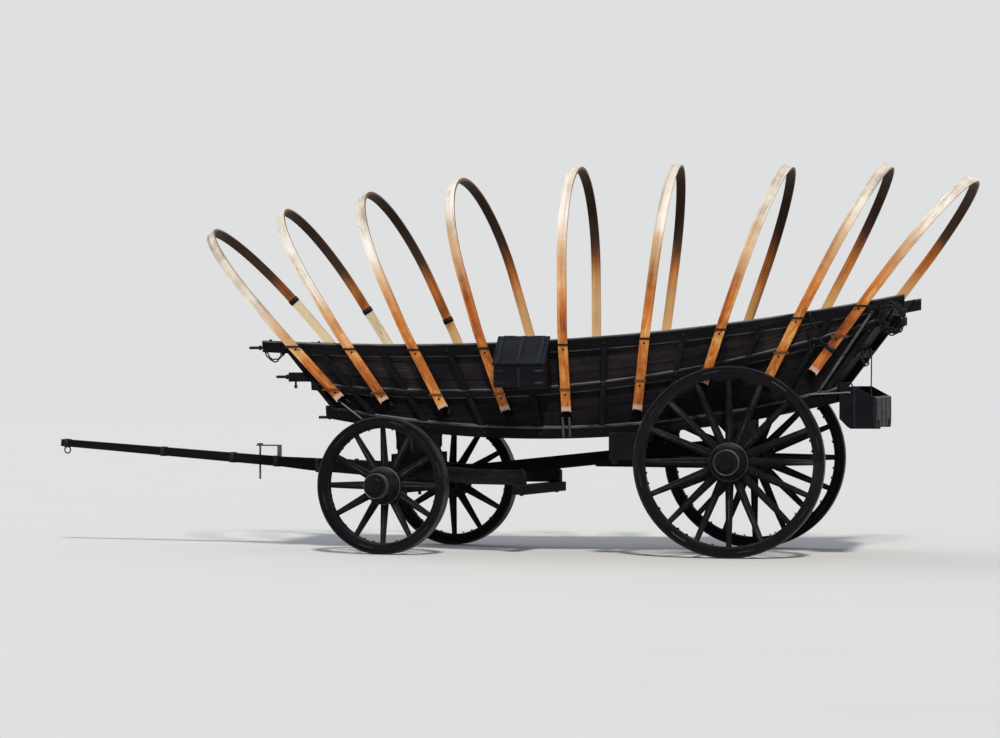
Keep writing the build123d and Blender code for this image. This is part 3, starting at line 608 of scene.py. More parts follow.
# %% Colours of the bows
HONEY = [(0.130, 0.027, 0.005), (0.370, 0.095, 0.013), (0.570, 0.190, 0.032), (0.800, 0.440, 0.155)]
GOLDEN = [(0.380, 0.190, 0.070), (0.860, 0.640, 0.380)]
SILVER = [(0.330, 0.270, 0.215), (0.690, 0.620, 0.530), (0.900, 0.870, 0.820)]
# The inner face's near-black up high is partly dark stain and partly painted shade where the arch faces down
STAIN_AND_SHADE, EDGE = [(0.012, 0.009, 0.007), (0.040, 0.026, 0.018)], [(0.1, 0.06, 0.035), (0.34, 0.25, 0.17)]
AMBER, CREAM = (0.80, 0.38, 0.09), (0.92, 0.81, 0.52)
# Share of each bow's height from which its outer face is silver
BLEACHED_FROM = (0.14, 0.30, 0.46, 0.56, 0.55, 0.50, 0.50, 0.50, 0.46)
# Each bow's inner face: heights above the top rail where the pale part ends and is full, and how pale it is
PALE_LEGS = [
    (0.51, 0.46, 1.0),
    (0.37, 0.32, 1.0),
    (0.256, 0.14, 0.35),
    (0.64, 0.22, 0.30),
    (0.78, 0.30, 0.45),
    (0.66, 0.22, 0.25),
    (0.52, 0.12, 0.15),
    (0.50, 0.10, 0.15),
    (0.46, 0.10, 0.15),
]
print("bleached from", min(BLEACHED_FROM), "to", max(BLEACHED_FROM), "of the height")

# %% [markdown]
# ### One material for each bow
# The layers go on in the order in which the wood aged, with painted shade among them: honey all over, then
# gold and silver where the sun reached, then the pale inner face and its near-black upper part, partly dark
# stain and partly painted shade, then worn edges, scuffed feet and open cracks.

# %% Bow materials


def outer_face(net, colour, outer, height, tone, bleached):
    golden = net.mix(tone, *GOLDEN)
    silver = net.ramp(tone, *zip((0.36, 0.48, 0.62), SILVER))
    colour = net.mix(outer * net.rise(height, bleached - 0.34, bleached) * 0.85, colour, golden)
    return net.mix(outer * net.rise(height, bleached - 0.06, bleached + 0.22) * 0.9, colour, silver)


def inner_face(net, colour, inner, height, low, tone, paleness, fibres):
    pale = tuple(a + (b - a) * paleness for a, b in zip(AMBER, CREAM))
    colour = net.mix(inner * low * 0.85, colour, net.mix(tone, tuple(c * 0.62 for c in pale), pale))
    # Up high the inner face goes near-black: partly dark stain, partly painted shade where the arch faces
    # down
    return net.mix(inner * net.rise(height, 0.36, 0.62) * 0.95, colour, net.mix(fibres, *STAIN_AND_SHADE))


def bow_material(number, bow):
    net = start_material(f"bow_ash_{number}")
    vector, place, normal = place_and_normal(net)
    in_strip, rise, outward = bow_place(net, place, normal, bow)
    fibres, bands, cracks, streaks = grain(net, *in_strip, seed=number * 4.1)
    blotch = net.noise(vector, 3.1, 4.0, 0.6)
    tone = bands * 0.45 + streaks * 0.40 + fibres * 0.15 + (blotch - 0.5) * 0.5
    outer, inner = net.rise(outward, 0.35, 0.75), net.rise(outward, -0.35, -0.75)
    wander = (blotch - 0.5) * 0.35 + (streaks - 0.5) * 0.25
    height = rise / bow.crown + wander
    starts, ends, paleness = PALE_LEGS[number - 1]
    low = net.rise(rise + wander * 0.15, starts, ends)
    colour = net.ramp(tone, *zip((0.33, 0.45, 0.56, 0.68), HONEY))
    colour = outer_face(net, colour, outer, height, tone, BLEACHED_FROM[number - 1])
    colour = inner_face(net, colour, inner, height, low, tone, paleness, fibres)
    edge = (1 - outer) * (1 - inner)
    colour = net.mix(edge * net.rise(height, 0.3, 0.8) * 0.7, colour, net.mix(tone, *EDGE))
    colour = net.mix(edge * 0.35, colour, (0.085, 0.035, 0.014))
    foot = net.rise(rise + wander * 0.12, -bow.drop + 0.055, -bow.drop + 0.03)
    colour = net.mix(foot * 0.75, colour, (0.60, 0.44, 0.34))
    colour = net.mix(cracks * 0.65, colour, (0.09, 0.035, 0.012))
    bumps = fibres * 0.4 + bands * 0.5 - cracks * 1.5
    finish_material(net, colour, net.spread(fibres, 0.5, 0.78), bumps, depth=0.0015, gloss=0.3)


for number, bow in enumerate(bows, 1):
    bow_material(number, bow)
print("bow materials:", len([name for name in finishes if name.startswith("bow_ash")]))

# %% [markdown]
# ## Wheels
# A wheel is three woods in one: an elm nave, oak spokes that run outward, and ash felloes that run round.
# All its materials need the same three values at a point: the distance from the axle's line, the angle
# round it, and the distance along it. The frame's joints tell where each axle's line lies.

# %% The four wheels
# The nave's radius beside the spokes, and a full turn
NAVE, TURN = 0.150, 2 * pi
WHEELS = {}
for joint_name, joint in JOINTS.items():
    if joint_name.endswith("_wheel_spin"):
        name = joint_name.removesuffix("_wheel_spin")
        axis, spokes = Vector(joint["axis"]).normalized(), 12 if name.startswith("front") else 16
        outward, centre = (axis if name.endswith("right") else -axis), Vector(joint["pos_m"])
        WHEELS[name] = {"centre": centre, "outward": outward, "ahead": outward.cross(UP).normalized()}
        WHEELS[name].update({"radius": centre.z, "spokes": spokes, "felloes": spokes // 2})


def wheel_place(net, place, wheel):
    """Distance from the axle's line, angle round it, and distance along it."""
    from_hub = from_point(place, wheel["centre"])
    ahead, up, axial = (along_line(from_hub, line) for line in (wheel["ahead"], UP, wheel["outward"]))
    return net.math("SQRT", ahead * ahead + up * up), net.math("ARCTAN2", up, ahead), axial


print("wheels:", {name: round(wheel["radius"], 3) for name, wheel in WHEELS.items()})

# %% [markdown]
# ### Nave and spokes
# The grain runs outward in the spokes and along the axle in the nave. Each spoke shifts the grain by its
# own number, so no two look alike. Spokes wear pale along their front edge and toward their tips, and axle
# grease blackens the middle of the nave.

# %% Hub material
WHEEL_TONES = [(0.0015, 0.0015, 0.0020), (0.0034, 0.0034, 0.0046), (0.0068, 0.0068, 0.0088)]
WHEEL_TONES += [(0.024, 0.024, 0.027)]


def rubbed_places(net, fibres, blotch):
    return net.rise(fibres * 0.5 + blotch * 0.5, 0.44, 0.62)


def hub_wood(name, wheel):
    def lay(net, place):
        radius, angle, axial = wheel_place(net, place, wheel)
        spoke = (angle * (wheel["spokes"] / TURN) + 0.5).math("FLOOR")
        nave = net.rise(radius, NAVE * 1.02, NAVE * 0.98)
        along, deep = radius * (1 - nave) + axial * nave, axial * (1 - nave) + radius * nave
        return along, angle * radius + spoke * 1.7 * (1 - nave), deep

    def wear(net, place, colour, roughness, height, fibres, blotch):
        radius, angle, _ = wheel_place(net, place, wheel)
        rubbed = rubbed_places(net, fibres, blotch)
        tip = net.rise(radius, wheel["radius"] * 0.55, wheel["radius"] * 0.9)
        colour = net.mix(tip * rubbed * 0.35, colour, (0.075, 0.073, 0.073))
        across = (angle * (wheel["spokes"] / TURN) + 0.5).math("FRACT")
        spine = net.rise(abs(across - 0.5) * radius, 0.012, 0.002) * net.rise(radius, NAVE, NAVE + 0.05)
        colour = net.mix(spine * rubbed * 0.6, colour, (0.12, 0.12, 0.125))
        grease = net.rise(radius, NAVE * 0.75, NAVE * 0.4)
        return net.mix(grease * 0.8, colour, (0.006, 0.006, 0.006)), roughness - grease * 0.25, height

    wood(f"{name}_hub_wood", WHEEL_TONES, lay, dust_and_sheen_share=0.35, seed=wheel["radius"] * 9, extra=wear)


for name, wheel in WHEELS.items():
    hub_wood(name, wheel)
print("hub woods:", len(WHEELS))

# %% [markdown]
# ### Felloes
# Felloes are sawn to the curve, so the grain coordinate is the angle times the radius. The same angle gives
# the dark joints between them, and their inner edge is rubbed pale.

# %% Felloe material


def felloe_wood(name, wheel):
    def lay(net, place):
        radius, angle, axial = wheel_place(net, place, wheel)
        return angle * wheel["radius"], radius, axial

    def wear(net, place, colour, roughness, height, fibres, blotch):
        radius, angle, _ = wheel_place(net, place, wheel)
        steps = angle * (wheel["felloes"] / TURN) + 0.25
        joint = net.rise(abs(steps.math("FRACT") - 0.5), 0.4935, 0.497)
        colour = net.mix(joint, colour, (0.004, 0.004, 0.004))
        inner = net.rise(radius, wheel["radius"] - 0.080, wheel["radius"] - 0.089)
        colour = net.mix(inner * rubbed_places(net, fibres, blotch) * 0.6, colour, (0.085, 0.085, 0.088))
        return colour, roughness, height - joint * 3.0

    wood(f"{name}_felloe_wood", WHEEL_TONES, lay, dust_and_sheen_share=0.35, seed=wheel["radius"] * 9, extra=wear)


for name, wheel in WHEELS.items():
    felloe_wood(name, wheel)
print("felloe woods:", len(WHEELS))

# %% [markdown]
# ### Tyres
# A tyre is a hoop of flat iron, shrunk on hot. Use scratches it along its run, so the noise is slow round
# the wheel and fast across it. Only the tread is polished and dusty; the edge stays dark.

# %% Tyre material


def tyre_iron(name, wheel):
    net = start_material(f"{name}_tyre_iron")
    vector, place, _ = place_and_normal(net)
    radius, angle, axial = wheel_place(net, place, wheel)
    scratches = net.noise(net.vector(angle * wheel["radius"] * 2.0, axial * 60, radius * 60), 1.0, 5.0, 0.65)
    broad = net.noise(vector, 4.0, 5.0, 0.6)
    tread = net.rise(radius, wheel["radius"] - 0.004, wheel["radius"] - 0.001)
    tones = (0.004, 0.004, 0.005), (0.009, 0.009, 0.012), (0.028, 0.028, 0.031)
    colour = net.ramp(scratches, *zip((0.30, 0.52, 0.75), tones))
    colour = net.mix(net.rise(broad, 0.5, 0.72) * 0.5, colour, (0.032, 0.020, 0.014))
    polish = tread * net.rise(scratches + broad * 0.4, 0.55, 0.85)
    colour = net.mix(polish * 0.6, colour, (0.14, 0.135, 0.13))
    colour = net.mix(tread * net.rise(broad, 0.42, 0.6) * 0.4, colour, (0.10, 0.085, 0.068))
    metallic = net.spread(1 - broad * 0.6, 0.4, 0.9)
    bumps = scratches + broad * 0.5
    finish_material(net, colour, net.spread(scratches, 0.38, 0.75), bumps, metallic, depth=0.001)


for name, wheel in WHEELS.items():
    tyre_iron(name, wheel)
print("tyre irons:", len(WHEELS))

# %% [markdown]
# ## Running gear, toolbox and trough
# These are single timbers, so a fixed grain direction is enough. The front gear is turned a few degrees under
# its kingpin, and its timbers' grain turns with it. The toolbox and the trough were tarred, which gives them
# a cooler blue-black and a little more sheen than the oak. On the lid's upward faces a paler blue is painted
# in as the sky's reflection.

# %% Materials for the other timbers
GEAR_TURN, TONGUE_RISE = radians(-8.2), radians(4.0)
gear_back = Matrix.Rotation(GEAR_TURN, 3, "Z") @ BACK
gear_left = gear_back.cross(UP)
gear_ahead, gear_right = -gear_back, -gear_left
tongue_line = (gear_ahead * cos(TONGUE_RISE) + UP * sin(TONGUE_RISE)).normalized()
WORN_GEAR = [(0.0025, 0.0025, 0.0030), (0.0055, 0.0055, 0.0065), (0.0120, 0.0120, 0.0135)]
WORN_GEAR += [(0.042, 0.040, 0.039)]
BATTEN_TONES = [(0.030, 0.028, 0.027), (0.070, 0.067, 0.063), (0.125, 0.120, 0.112), (0.210, 0.200, 0.185)]
TARRED = [(0.0012, 0.0015, 0.0026), (0.0026, 0.0034, 0.0056), (0.0054, 0.0068, 0.0108), (0.016, 0.019, 0.027)]
TIMBERS = [
    ("cross_oak", BLACK_OAK, lay_y, 0.6, 8.0),
    ("batten_oak", BATTEN_TONES, lay_x, 0.3, 9.0),
    ("gear_oak", BLACK_OAK, lay_toward(gear_left), 0.6, 11.0),
    ("hound_oak", WORN_GEAR, lay_toward(gear_back), 0.6, 12.0),
    ("tongue_oak", BLACK_OAK, lay_toward(tongue_line), 0.55, 13.0),
    ("reach_oak", BLACK_OAK, lay_x, 0.6, 14.0),
]
for name, tones, lay, dust_and_sheen_share, seed in TIMBERS:
    wood(name, tones, lay, dust_and_sheen_share=dust_and_sheen_share, seed=seed)
BOX_SEAMS, TROUGH_SEAMS = board_seams(2, 0.118, 1.35), board_seams(2, 0.16, 1.05)
wood("toolbox_wood", TARRED, lay_x, dust_and_sheen_share=0.25, seed=15.0, extra=BOX_SEAMS, rough=(0.4, 0.7))
# The lid's upward faces get a paler blue: a painted reflection of the sky, passed in the dust colour's place
wood("lid_wood", TARRED, lay_x, dust_and_sheen=(0.022, 0.028, 0.041), dust_and_sheen_share=0.6, seed=16.0, rough=(0.4, 0.66))
wood("trough_wood", TARRED, lay_y, dust_and_sheen_share=0.3, seed=17.0, rough=(0.4, 0.7), extra=TROUGH_SEAMS)
print("materials in all:", len(finishes))

# %% [markdown]
# ## Give every CAD node its material
# The CAD nodes keep their shapes and only change what covers them. A table from each finish to the nodes
# that wear it is easier to check than a material chosen inside a loop, and a node left out stops the
# script.

# %% Dress the CAD nodes
DRESS = {
    "side_frame_oak": "side_frame_left side_frame_right",
    "side_board_oak": "side_boards_left side_boards_right",
    "floor_oak": "floor",
    "gate_oak": "front_gate tail_gate",
    "cross_oak": "cross_sills front_ties rear_ties rear_axle rear_bolster front_bolster brake_beam",
    "reach_oak": "reach rear_hounds",
    "gear_oak": "front_axle sand_board sway_bar",
    "hound_oak": "front_hounds",
    "tongue_oak": "tongue",
    "toolbox_wood": "toolbox",
    "lid_wood": "toolbox_lid",
    "trough_wood": "feed_trough",
    "black_iron": "trough_arms kingpin",
    "worn_iron": "hammer_pin tongue_hasp",
    "staple_iron": "bow_staples_left bow_staples_right",
}
DRESS.update({f"bow_ash_{number}": f"bow_{number}" for number in range(1, len(bows) + 1)})
for finish, part in (("hub_wood", "hub"), ("felloe_wood", "felloes"), ("tyre_iron", "tyre")):
    DRESS.update({f"{name}_{finish}": f"{name}_{part}" for name in WHEELS})
worn_by = {node: finish for finish, nodes in DRESS.items() for node in nodes.split()}
for name, node in frame["nodes"].items():
    node.data.materials.clear()
    node.data.materials.append(finishes[worn_by[name]])
print(len(frame["nodes"]), "CAD nodes dressed")

# %% [markdown]
# ## Ironwork that repeats
# Bolts, nails and rivets come by the hundred. Placing copies in Python would work, but Geometry Nodes keep
# the head's shape in one tree with named sizes. Two helpers start a tree and end every tree the same way.

# %% Start and end of a tree
SOCKET_KINDS = {"Geometry": "Geometry", "Sides": "Int", "Seed": "Int", "Material": "Material"}


def add_to_scene(thing):
    bpy.context.scene.collection.objects.link(thing)
    return thing


def group(name, *sizes):
    """A Geometry Nodes tree with an input for each size; gives its Net and the inputs as Nums."""
    tree = bpy.data.node_groups.new(name, "GeometryNodeTree")
    inputs = ("Geometry", *sizes, "Material")
    for key in inputs:
        kind = "NodeSocket" + SOCKET_KINDS.get(key, "Float")
        tree.interface.new_socket(key, in_out="INPUT", socket_type=kind)
    tree.interface.new_socket("Geometry", in_out="OUTPUT", socket_type="NodeSocketGeometry")
    net = Net(tree)
    entry = net.add("NodeGroupInput")
    return net, {key: entry.output(key) for key in inputs}


def close_group(net, geometry, material):
    """Ends a tree the same way each time: realised instances, a material, the output."""
    solid = net.add("GeometryNodeRealizeInstances", {}, {0: geometry})
    coated = net.add("GeometryNodeSetMaterial", {}, {"Geometry": solid, "Material": material})
    net.add("NodeGroupOutput", {}, {0: coated})
    return net.tree


print("inputs that aren't floats:", sorted(SOCKET_KINDS))

# %% [markdown]
# A tree needs a mesh to work on. Each point of it also stores which way the iron faces there. The result is
# made a plain mesh at once, and is parented to the body it rides on.

# %% From points to a finished piece


def faced_mesh(name, spots, edges=()):
    """A mesh of (point, facing) spots that remembers each facing."""
    mesh = bpy.data.meshes.new(name)
    mesh.from_pydata([tuple(point) for point, _ in spots], edges, [])
    attribute = mesh.attributes.new("facing", "FLOAT_VECTOR", "POINT")
    for item, (_, facing) in zip(attribute.data, spots):
        item.vector = facing
    return mesh


def facings(net):
    return net.add("GeometryNodeInputNamedAttribute", {"data_type": "FLOAT_VECTOR"}, {"Name": "facing"})


def iron_piece(tree, mesh, body, sizes):
    """Runs a tree on a mesh, makes the result a plain mesh, and parents it to its body's empty."""
    piece = add_to_scene(bpy.data.objects.new(mesh.name, mesh))
    modifier = piece.modifiers.new(tree.name, "NODES")
    modifier.node_group = tree
    for item in tree.interface.items_tree:
        if item.item_type == "SOCKET" and item.in_out == "INPUT" and item.name in sizes:
            modifier[item.identifier] = sizes[item.name]
    evaluated = piece.evaluated_get(bpy.context.evaluated_depsgraph_get())
    solid = bpy.data.meshes.new_from_object(evaluated)
    piece.modifiers.clear()
    piece.data = solid
    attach(piece, body)
    print(piece.name, "has", len(piece.data.polygons), "faces")
    return piece


# %% [markdown]
# ### Heads on points
# Points with a facing direction go in, and a small cone stands on each. Four sides give a smith's square
# head, ten give a round one. Each head is turned by its own chance angle, because no smith drives two bolts
# alike.

# %% The heads tree
SUNK = 0.0005


def heads_tree():
    net, given = group("heads", "Sides", "Radius", "Height", "Crown", "Wobble", "Seed")
    sizes = {"Vertices": given["Sides"], "Radius Top": given["Radius"] * given["Crown"]}
    sizes.update({"Radius Bottom": given["Radius"], "Depth": given["Height"]})
    cone = net.add("GeometryNodeMeshCone", {}, sizes)
    turned = net.add("FunctionNodeAlignRotationToVector", {"axis": "Z"}, {"Vector": facings(net)})
    places = {"Points": given["Geometry"], "Instance": cone, "Rotation": turned}
    spots = net.add("GeometryNodeInstanceOnPoints", {}, places)
    span = {2: given["Wobble"] * -1.0, 3: given["Wobble"], "Seed": given["Seed"]}
    chance = net.add("FunctionNodeRandomValue", {"data_type": "FLOAT"}, span, out=1)
    spin = {"Instances": spots, "Rotation": net.vector(0.0, 0.0, chance)}
    return close_group(net, net.add("GeometryNodeRotateInstances", {}, spin), given["Material"])


HEADS = heads_tree()


def heads(
    name, spots, body="bed", sides=4, radius=0.010, height=0.006, crown=0.8, seed=1, metal="black_iron"
):
    """Heads on a list of (point, direction). Each stands a hair into the wood, so no gap shows."""
    sunk = [(point - facing.normalized() * SUNK, facing) for point, facing in spots]
    sizes = {"Sides": sides, "Radius": radius, "Height": height, "Crown": crown, "Wobble": 0.25, "Seed": seed}
    return iron_piece(HEADS, faced_mesh(name, sunk), body, {**sizes, "Material": finishes[metal]})


def rivets(name, spots, body="bed", radius=0.006, metal="black_iron"):
    return heads(name, spots, body, sides=8, radius=radius, height=0.004, crown=0.5, metal=metal)


print("heads tree:", len(HEADS.nodes), "nodes")

# %% [markdown]
# ### Bolts and nails of the bed
# Each post is bolted to the three rails, each bow leg has a bolt at its two staples, and two nails hold
# every board at every post. The posts' lines are already known, so a height gives the place.

# %% Lines of all the posts


def end_post(end):
    """Where an end post crosses the middles of the sill and of the top rail."""
    return meet(end, BOTTOM, SILL / 2, POST / 2), meet(end, TOP, -TOP_RAIL / 2, POST / 2)


def on_post(ends, height):
    (low_at, low), (high_at, high) = ends
    return low_at + (high_at - low_at) * (height - low) / (high - low)


post_lines = []
for foot, head in posts:
    post_lines.append(((foot, sag(BOTTOM, foot) + SILL / 2), (head, sag(TOP, head) - TOP_RAIL / 2)))
post_lines += [end_post(FRONT_FOOT), end_post(REAR_FOOT)]
print(len(post_lines), "posts on each side")

# %% [markdown]
# A nail near a rail would split the board's end, so rows of nails keep clear of the rails. The bow's lower
# bolt sits just under the middle rail, found by walking down the leg until its height matches.

# %% Place the bed's bolts and nails
FIRST_NAIL, NAIL_STEP, NAIL_ROWS, NAIL_PAIR = 0.075, 0.071, 9, 0.011
TOP_CLEAR, RAIL_CLEAR, UPPER_BOLT, LOWER_BOLT = 0.05, 0.045, 0.075, 0.045


def post_spots(side):
    bolts, nails = [], []
    for ends in post_lines:
        low, high = ends[0][1], ends[1][1]
        middle = sag(MIDDLE, (ends[0][0] + ends[1][0]) / 2) + MIDDLE_RAIL / 2
        bolts += [(on_side(side, on_post(ends, z), z), side_normal(side)) for z in (low, middle, high)]
        for height in (low + FIRST_NAIL + NAIL_STEP * row for row in range(NAIL_ROWS)):
            if height < high - TOP_CLEAR and abs(height - middle) > RAIL_CLEAR:
                for shift in (-NAIL_PAIR, NAIL_PAIR):
                    nails.append((on_side(side, on_post(ends, height) + shift, height), side_normal(side)))
    return bolts, nails


def leg_spots(side):
    spots = []
    for bow in bows:
        middle = 0.0
        for _ in range(30):
            station = bow.leg(side, middle).x - REAR_X
            middle = (bow.base.z - sag(MIDDLE, station) - MIDDLE_RAIL / 2) / cos(bow.lean)
        spots += [(bow.leg(side, down), bow.across * side) for down in (UPPER_BOLT, middle + LOWER_BOLT)]
    return spots


for side, hand in SIDES:
    bolts, nails = post_spots(side)
    heads(f"post_bolts_{hand}", bolts, radius=0.017, height=0.010, seed=2)
    heads(f"post_nails_{hand}", nails, sides=8, radius=0.0045, height=0.0025, crown=0.6, seed=3)
    heads(f"bow_bolts_{hand}", leg_spots(side), sides=10, crown=0.55, seed=4)
    print(hand, "side:", len(bolts), "bolts and", len(nails), "nails")

# %% [markdown]
# ## Straps, rods and chains
# Flat iron, round iron and chain all follow a path. A path is a polyline in a mesh; for flat iron each
# point also stores which way the strap faces, because a curve alone doesn't know its top side. The trees
# turn the polyline into a curve and sweep a rectangle or a circle along it.

# %% Trees for straps and rods


def swept(net, curve, section):
    shape = {"Curve": curve, "Profile Curve": section, "Fill Caps": True}
    return net.add("GeometryNodeCurveToMesh", {}, shape)


def circle(net, radius, sides):
    size = {"Resolution": sides, "Radius": radius}
    return net.add("GeometryNodeCurvePrimitiveCircle", {"mode": "RADIUS"}, size)


def straps_tree():
    net, given = group("straps", "Thickness", "Width")
    curve = net.add("GeometryNodeMeshToCurve", {}, {0: given["Geometry"]})
    faced = net.add("GeometryNodeSetCurveNormal", {"mode": "FREE"}, {"Curve": curve, "Normal": facings(net)})
    size = {"Width": given["Thickness"], "Height": given["Width"]}
    section = net.add("GeometryNodeCurvePrimitiveQuadrilateral", {}, size)
    return close_group(net, swept(net, faced, section), given["Material"])


def rods_tree():
    net, given = group("rods", "Radius", "Sides")
    curve = net.add("GeometryNodeMeshToCurve", {}, {0: given["Geometry"]})
    solid = swept(net, curve, circle(net, given["Radius"], given["Sides"]))
    smooth = net.add("GeometryNodeSetShadeSmooth", {}, {"Geometry": solid, "Shade Smooth": True})
    return close_group(net, smooth, given["Material"])


STRAPS, RODS = straps_tree(), rods_tree()
print("straps and rods trees:", len(STRAPS.nodes), "and", len(RODS.nodes), "nodes")

# %% [markdown]
# ### Chains
# The chain tree sets links along the curve at an even pitch and turns every second link by a quarter. A
# rope texture on a tube would be cheaper, but a chain's outline is all holes, and light has to pass through
# them.

# %% The chain tree
# A link is a circle with this radius, in pitches, drawn out to an oval; the first is turned a little
LINK_RADIUS, LINK_OVAL, FIRST_TURN = 0.42, (0.82, 1.5, 1.0), 0.4


def chain_tree():
    net, given = group("chain", "Pitch", "Iron")
    curve = net.add("GeometryNodeMeshToCurve", {}, {0: given["Geometry"]})
    pitches = {"Curve": curve, "Length": given["Pitch"]}
    spots = net.add("GeometryNodeCurveToPoints", {"mode": "LENGTH"}, pitches, out="Points")
    oval = {"Geometry": circle(net, given["Pitch"] * LINK_RADIUS, 10)}
    oval.update({"Scale": LINK_OVAL, "Rotation": (pi / 2, 0, 0)})
    longer = net.add("GeometryNodeTransform", {}, oval)
    sweep = {"Curve": longer, "Profile Curve": circle(net, given["Iron"], 5)}
    link = net.add("GeometryNodeCurveToMesh", {}, sweep)
    places = {"Points": spots, "Instance": link, "Rotation": spots.output("Rotation")}
    links = net.add("GeometryNodeInstanceOnPoints", {}, places)
    quarter = net.add("GeometryNodeInputIndex") * (pi / 2) + FIRST_TURN
    turned = {"Instances": links, "Rotation": net.vector(0.0, 0.0, quarter)}
    return close_group(net, net.add("GeometryNodeRotateInstances", {}, turned), given["Material"])


CHAIN = chain_tree()
print("chain tree:", len(CHAIN.nodes), "nodes")

# %% [markdown]
# One function joins paths into one mesh and runs any of the three trees on it. Three short ones name what is
# made, so that later cells read like a smith's list.

# %% Iron that follows paths


def follow(tree, name, paths, body="bed", closed=False, metal="black_iron", **sizes):
    """Sweeps iron along paths; each path is a list of (point, facing)."""
    spots, edges = [], []
    for path in paths:
        first = len(spots)
        spots += path
        edges += [(k, k + 1) for k in range(first, len(spots) - 1)]
        if closed:
            edges.append((len(spots) - 1, first))
    return iron_piece(tree, faced_mesh(name, spots, edges), body, {**sizes, "Material": finishes[metal]})


def straps(name, paths, body="bed", width=0.03, thickness=0.005, **more):
    return follow(STRAPS, name, paths, body, Width=width, Thickness=thickness, **more)


def rods(name, paths, body="bed", radius=0.01, sides=10, **more):
    return follow(RODS, name, paths, body, Radius=radius, Sides=sides, **more)


def chain(name, paths, pitch=0.036, thick=0.0062):
    return follow(CHAIN, name, paths, Pitch=pitch, Iron=thick)


print("trees:", [tree.name for tree in (HEADS, STRAPS, RODS, CHAIN)])

# %% [markdown]
# ### Shapes of paths
# A hanging chain makes a catenary; a parabola is so close that the eye can't tell, and needs no solving.
# Rings serve for hoops and coils. A band is a rectangle with cut corners, because hot iron isn't folded to
# a sharp edge.

# %% Hanging lines, rings and bands


def hanging(start, end, drop, count=14):
    shares = [i / (count - 1) for i in range(count)]
    return [(start.lerp(end, t) + Vector((0, 0, -4 * drop * t * (1 - t))), UP) for t in shares]


def ring(centre, axis, radius, count=24):
    """A closed circle of points round an axis, each facing outward."""
    first = axis.normalized().orthogonal().normalized()
    second = axis.normalized().cross(first)
    outs = [first * cos(TURN * i / count) + second * sin(TURN * i / count) for i in range(count)]
    return [(centre + out * radius, out) for out in outs]


def band(centre, wide, deep, half_wide, half_deep, corner=0.008):
    """A closed rectangle round a timber, with its corners cut, facing outward."""
    points = []
    for x, y, turned in ((1, 1, False), (-1, 1, True), (-1, -1, False), (1, -1, True)):
        ends = [
            (wide * x * half_wide + deep * y * (half_deep - corner), wide * x),
            (wide * x * (half_wide - corner) + deep * y * half_deep, deep * y),
        ]
        points += [(centre + offset, facing) for offset, facing in (ends[::-1] if turned else ends)]
    return points


def clasp(middle, along_bow, out):
    """A band round a bow's strip."""
    return band(middle, along_bow, out, BOW_WIDTH / 2 + 0.003, BOW_THICKNESS / 2 + 0.004, 0.006)


print("points in a ring and in a band:", len(ring(UP, UP, 1)), "and", len(band(UP, BACK, UP, 1, 1)))

# %% [markdown]
# ### Battens and iron tips of the rails
# Thin battens cover the joints under the two upper rails, and they catch the light as pale lines. The rails
# end in iron pins, because the end bars were drawn up on them with wedges; collars and pegs hold those
# bars. All of them follow the lines of the rails, so they are made by a function of the side alone.

# %% Battens, pins and knobs
# Each batten: the line, its rise above it, and its first and last station
BATTENS = [(MIDDLE, -0.008, -3.32, 0.97), (TOP, -TOP_RAIL - 0.010, -3.55, 1.11)]
# Each rail's front tip: station, height, and how far inside the frame's face
RAIL_TIPS = [(-3.855, 1.668, 0.018), (-3.640, 1.434, 0.006), (-3.308, 1.100, 0.019)]
PEG_STATION, PEG_SIDE, PEG_HEIGHT, KNOB_STATION = -3.570, 0.722, 1.396, -3.770


def batten_path(side, line, rise, first, last, count=36):
    stations = [first + (last - first) * i / (count - 1) for i in range(count)]
    inside = -FRAME_THICK + 0.0035
    return [(on_side(side, s, sag(line, s) + rise, inside), side_normal(side)) for s in stations]


def rail_irons(side, hand):
    paths = [batten_path(side, *row) for row in BATTENS]
    battens = straps(f"battens_{hand}", paths, width=0.013, thickness=0.007, metal="batten_oak")
    starts = [on_side(side, station, height, -inset) for station, height, inset in RAIL_TIPS]
    pins = [[(start + AHEAD * t, side_normal(side)) for t in (-0.02, 0.085, 0.096)] for start in starts]
    rods(f"rail_pins_{hand}", pins, radius=0.0125)
    collars = [(start, AHEAD) for start in starts]
    heads(f"rail_collars_{hand}", collars, sides=10, radius=0.022, height=0.018, crown=0.75)
    peg = Vector((REAR_X + PEG_STATION, side * PEG_SIDE, PEG_HEIGHT))
    knob = on_side(side, KNOB_STATION, 1.700, -0.018)
    knob.z = sag(TOP, KNOB_STATION)
    rods(f"bar_pegs_{hand}", [[(peg + DOWN * t, AHEAD) for t in (-0.01, 0.045, 0.055)]], radius=0.009)
    heads(f"tip_knobs_{hand}", [(knob, UP), (peg + DOWN * 0.030, DOWN)], sides=10, radius=0.015, height=0.020)


print(len(BATTENS), "battens and", len(RAIL_TIPS), "iron tips on each side")

# %% [markdown]
# ### Hooks under the bows' feet
# Short hooks carry each bow leg's foot; without them a loaded cover would push the bows down through their
# staples. A hook is one flat iron, riveted to the boards below the foot and bent out and up round the strip.

# %% Hooks and their rivets
# From the leg's outer face to the hook's flat, which lies on the side boards
BEHIND = 0.004 - (BOW_THICKNESS + SEAM + FRAME_THICK)
# Each bend: distance below the foot, distance out from the leg's outer face, and whether it faces up
HOOK = [
    (0.080, BEHIND, False),
    (0.014, BEHIND, False),
    (0.005, BEHIND + 0.009, True),
    (0.0035, 0.0, True),
    (0.0, 0.0035, False),
    (-0.009, 0.0035, False),
]


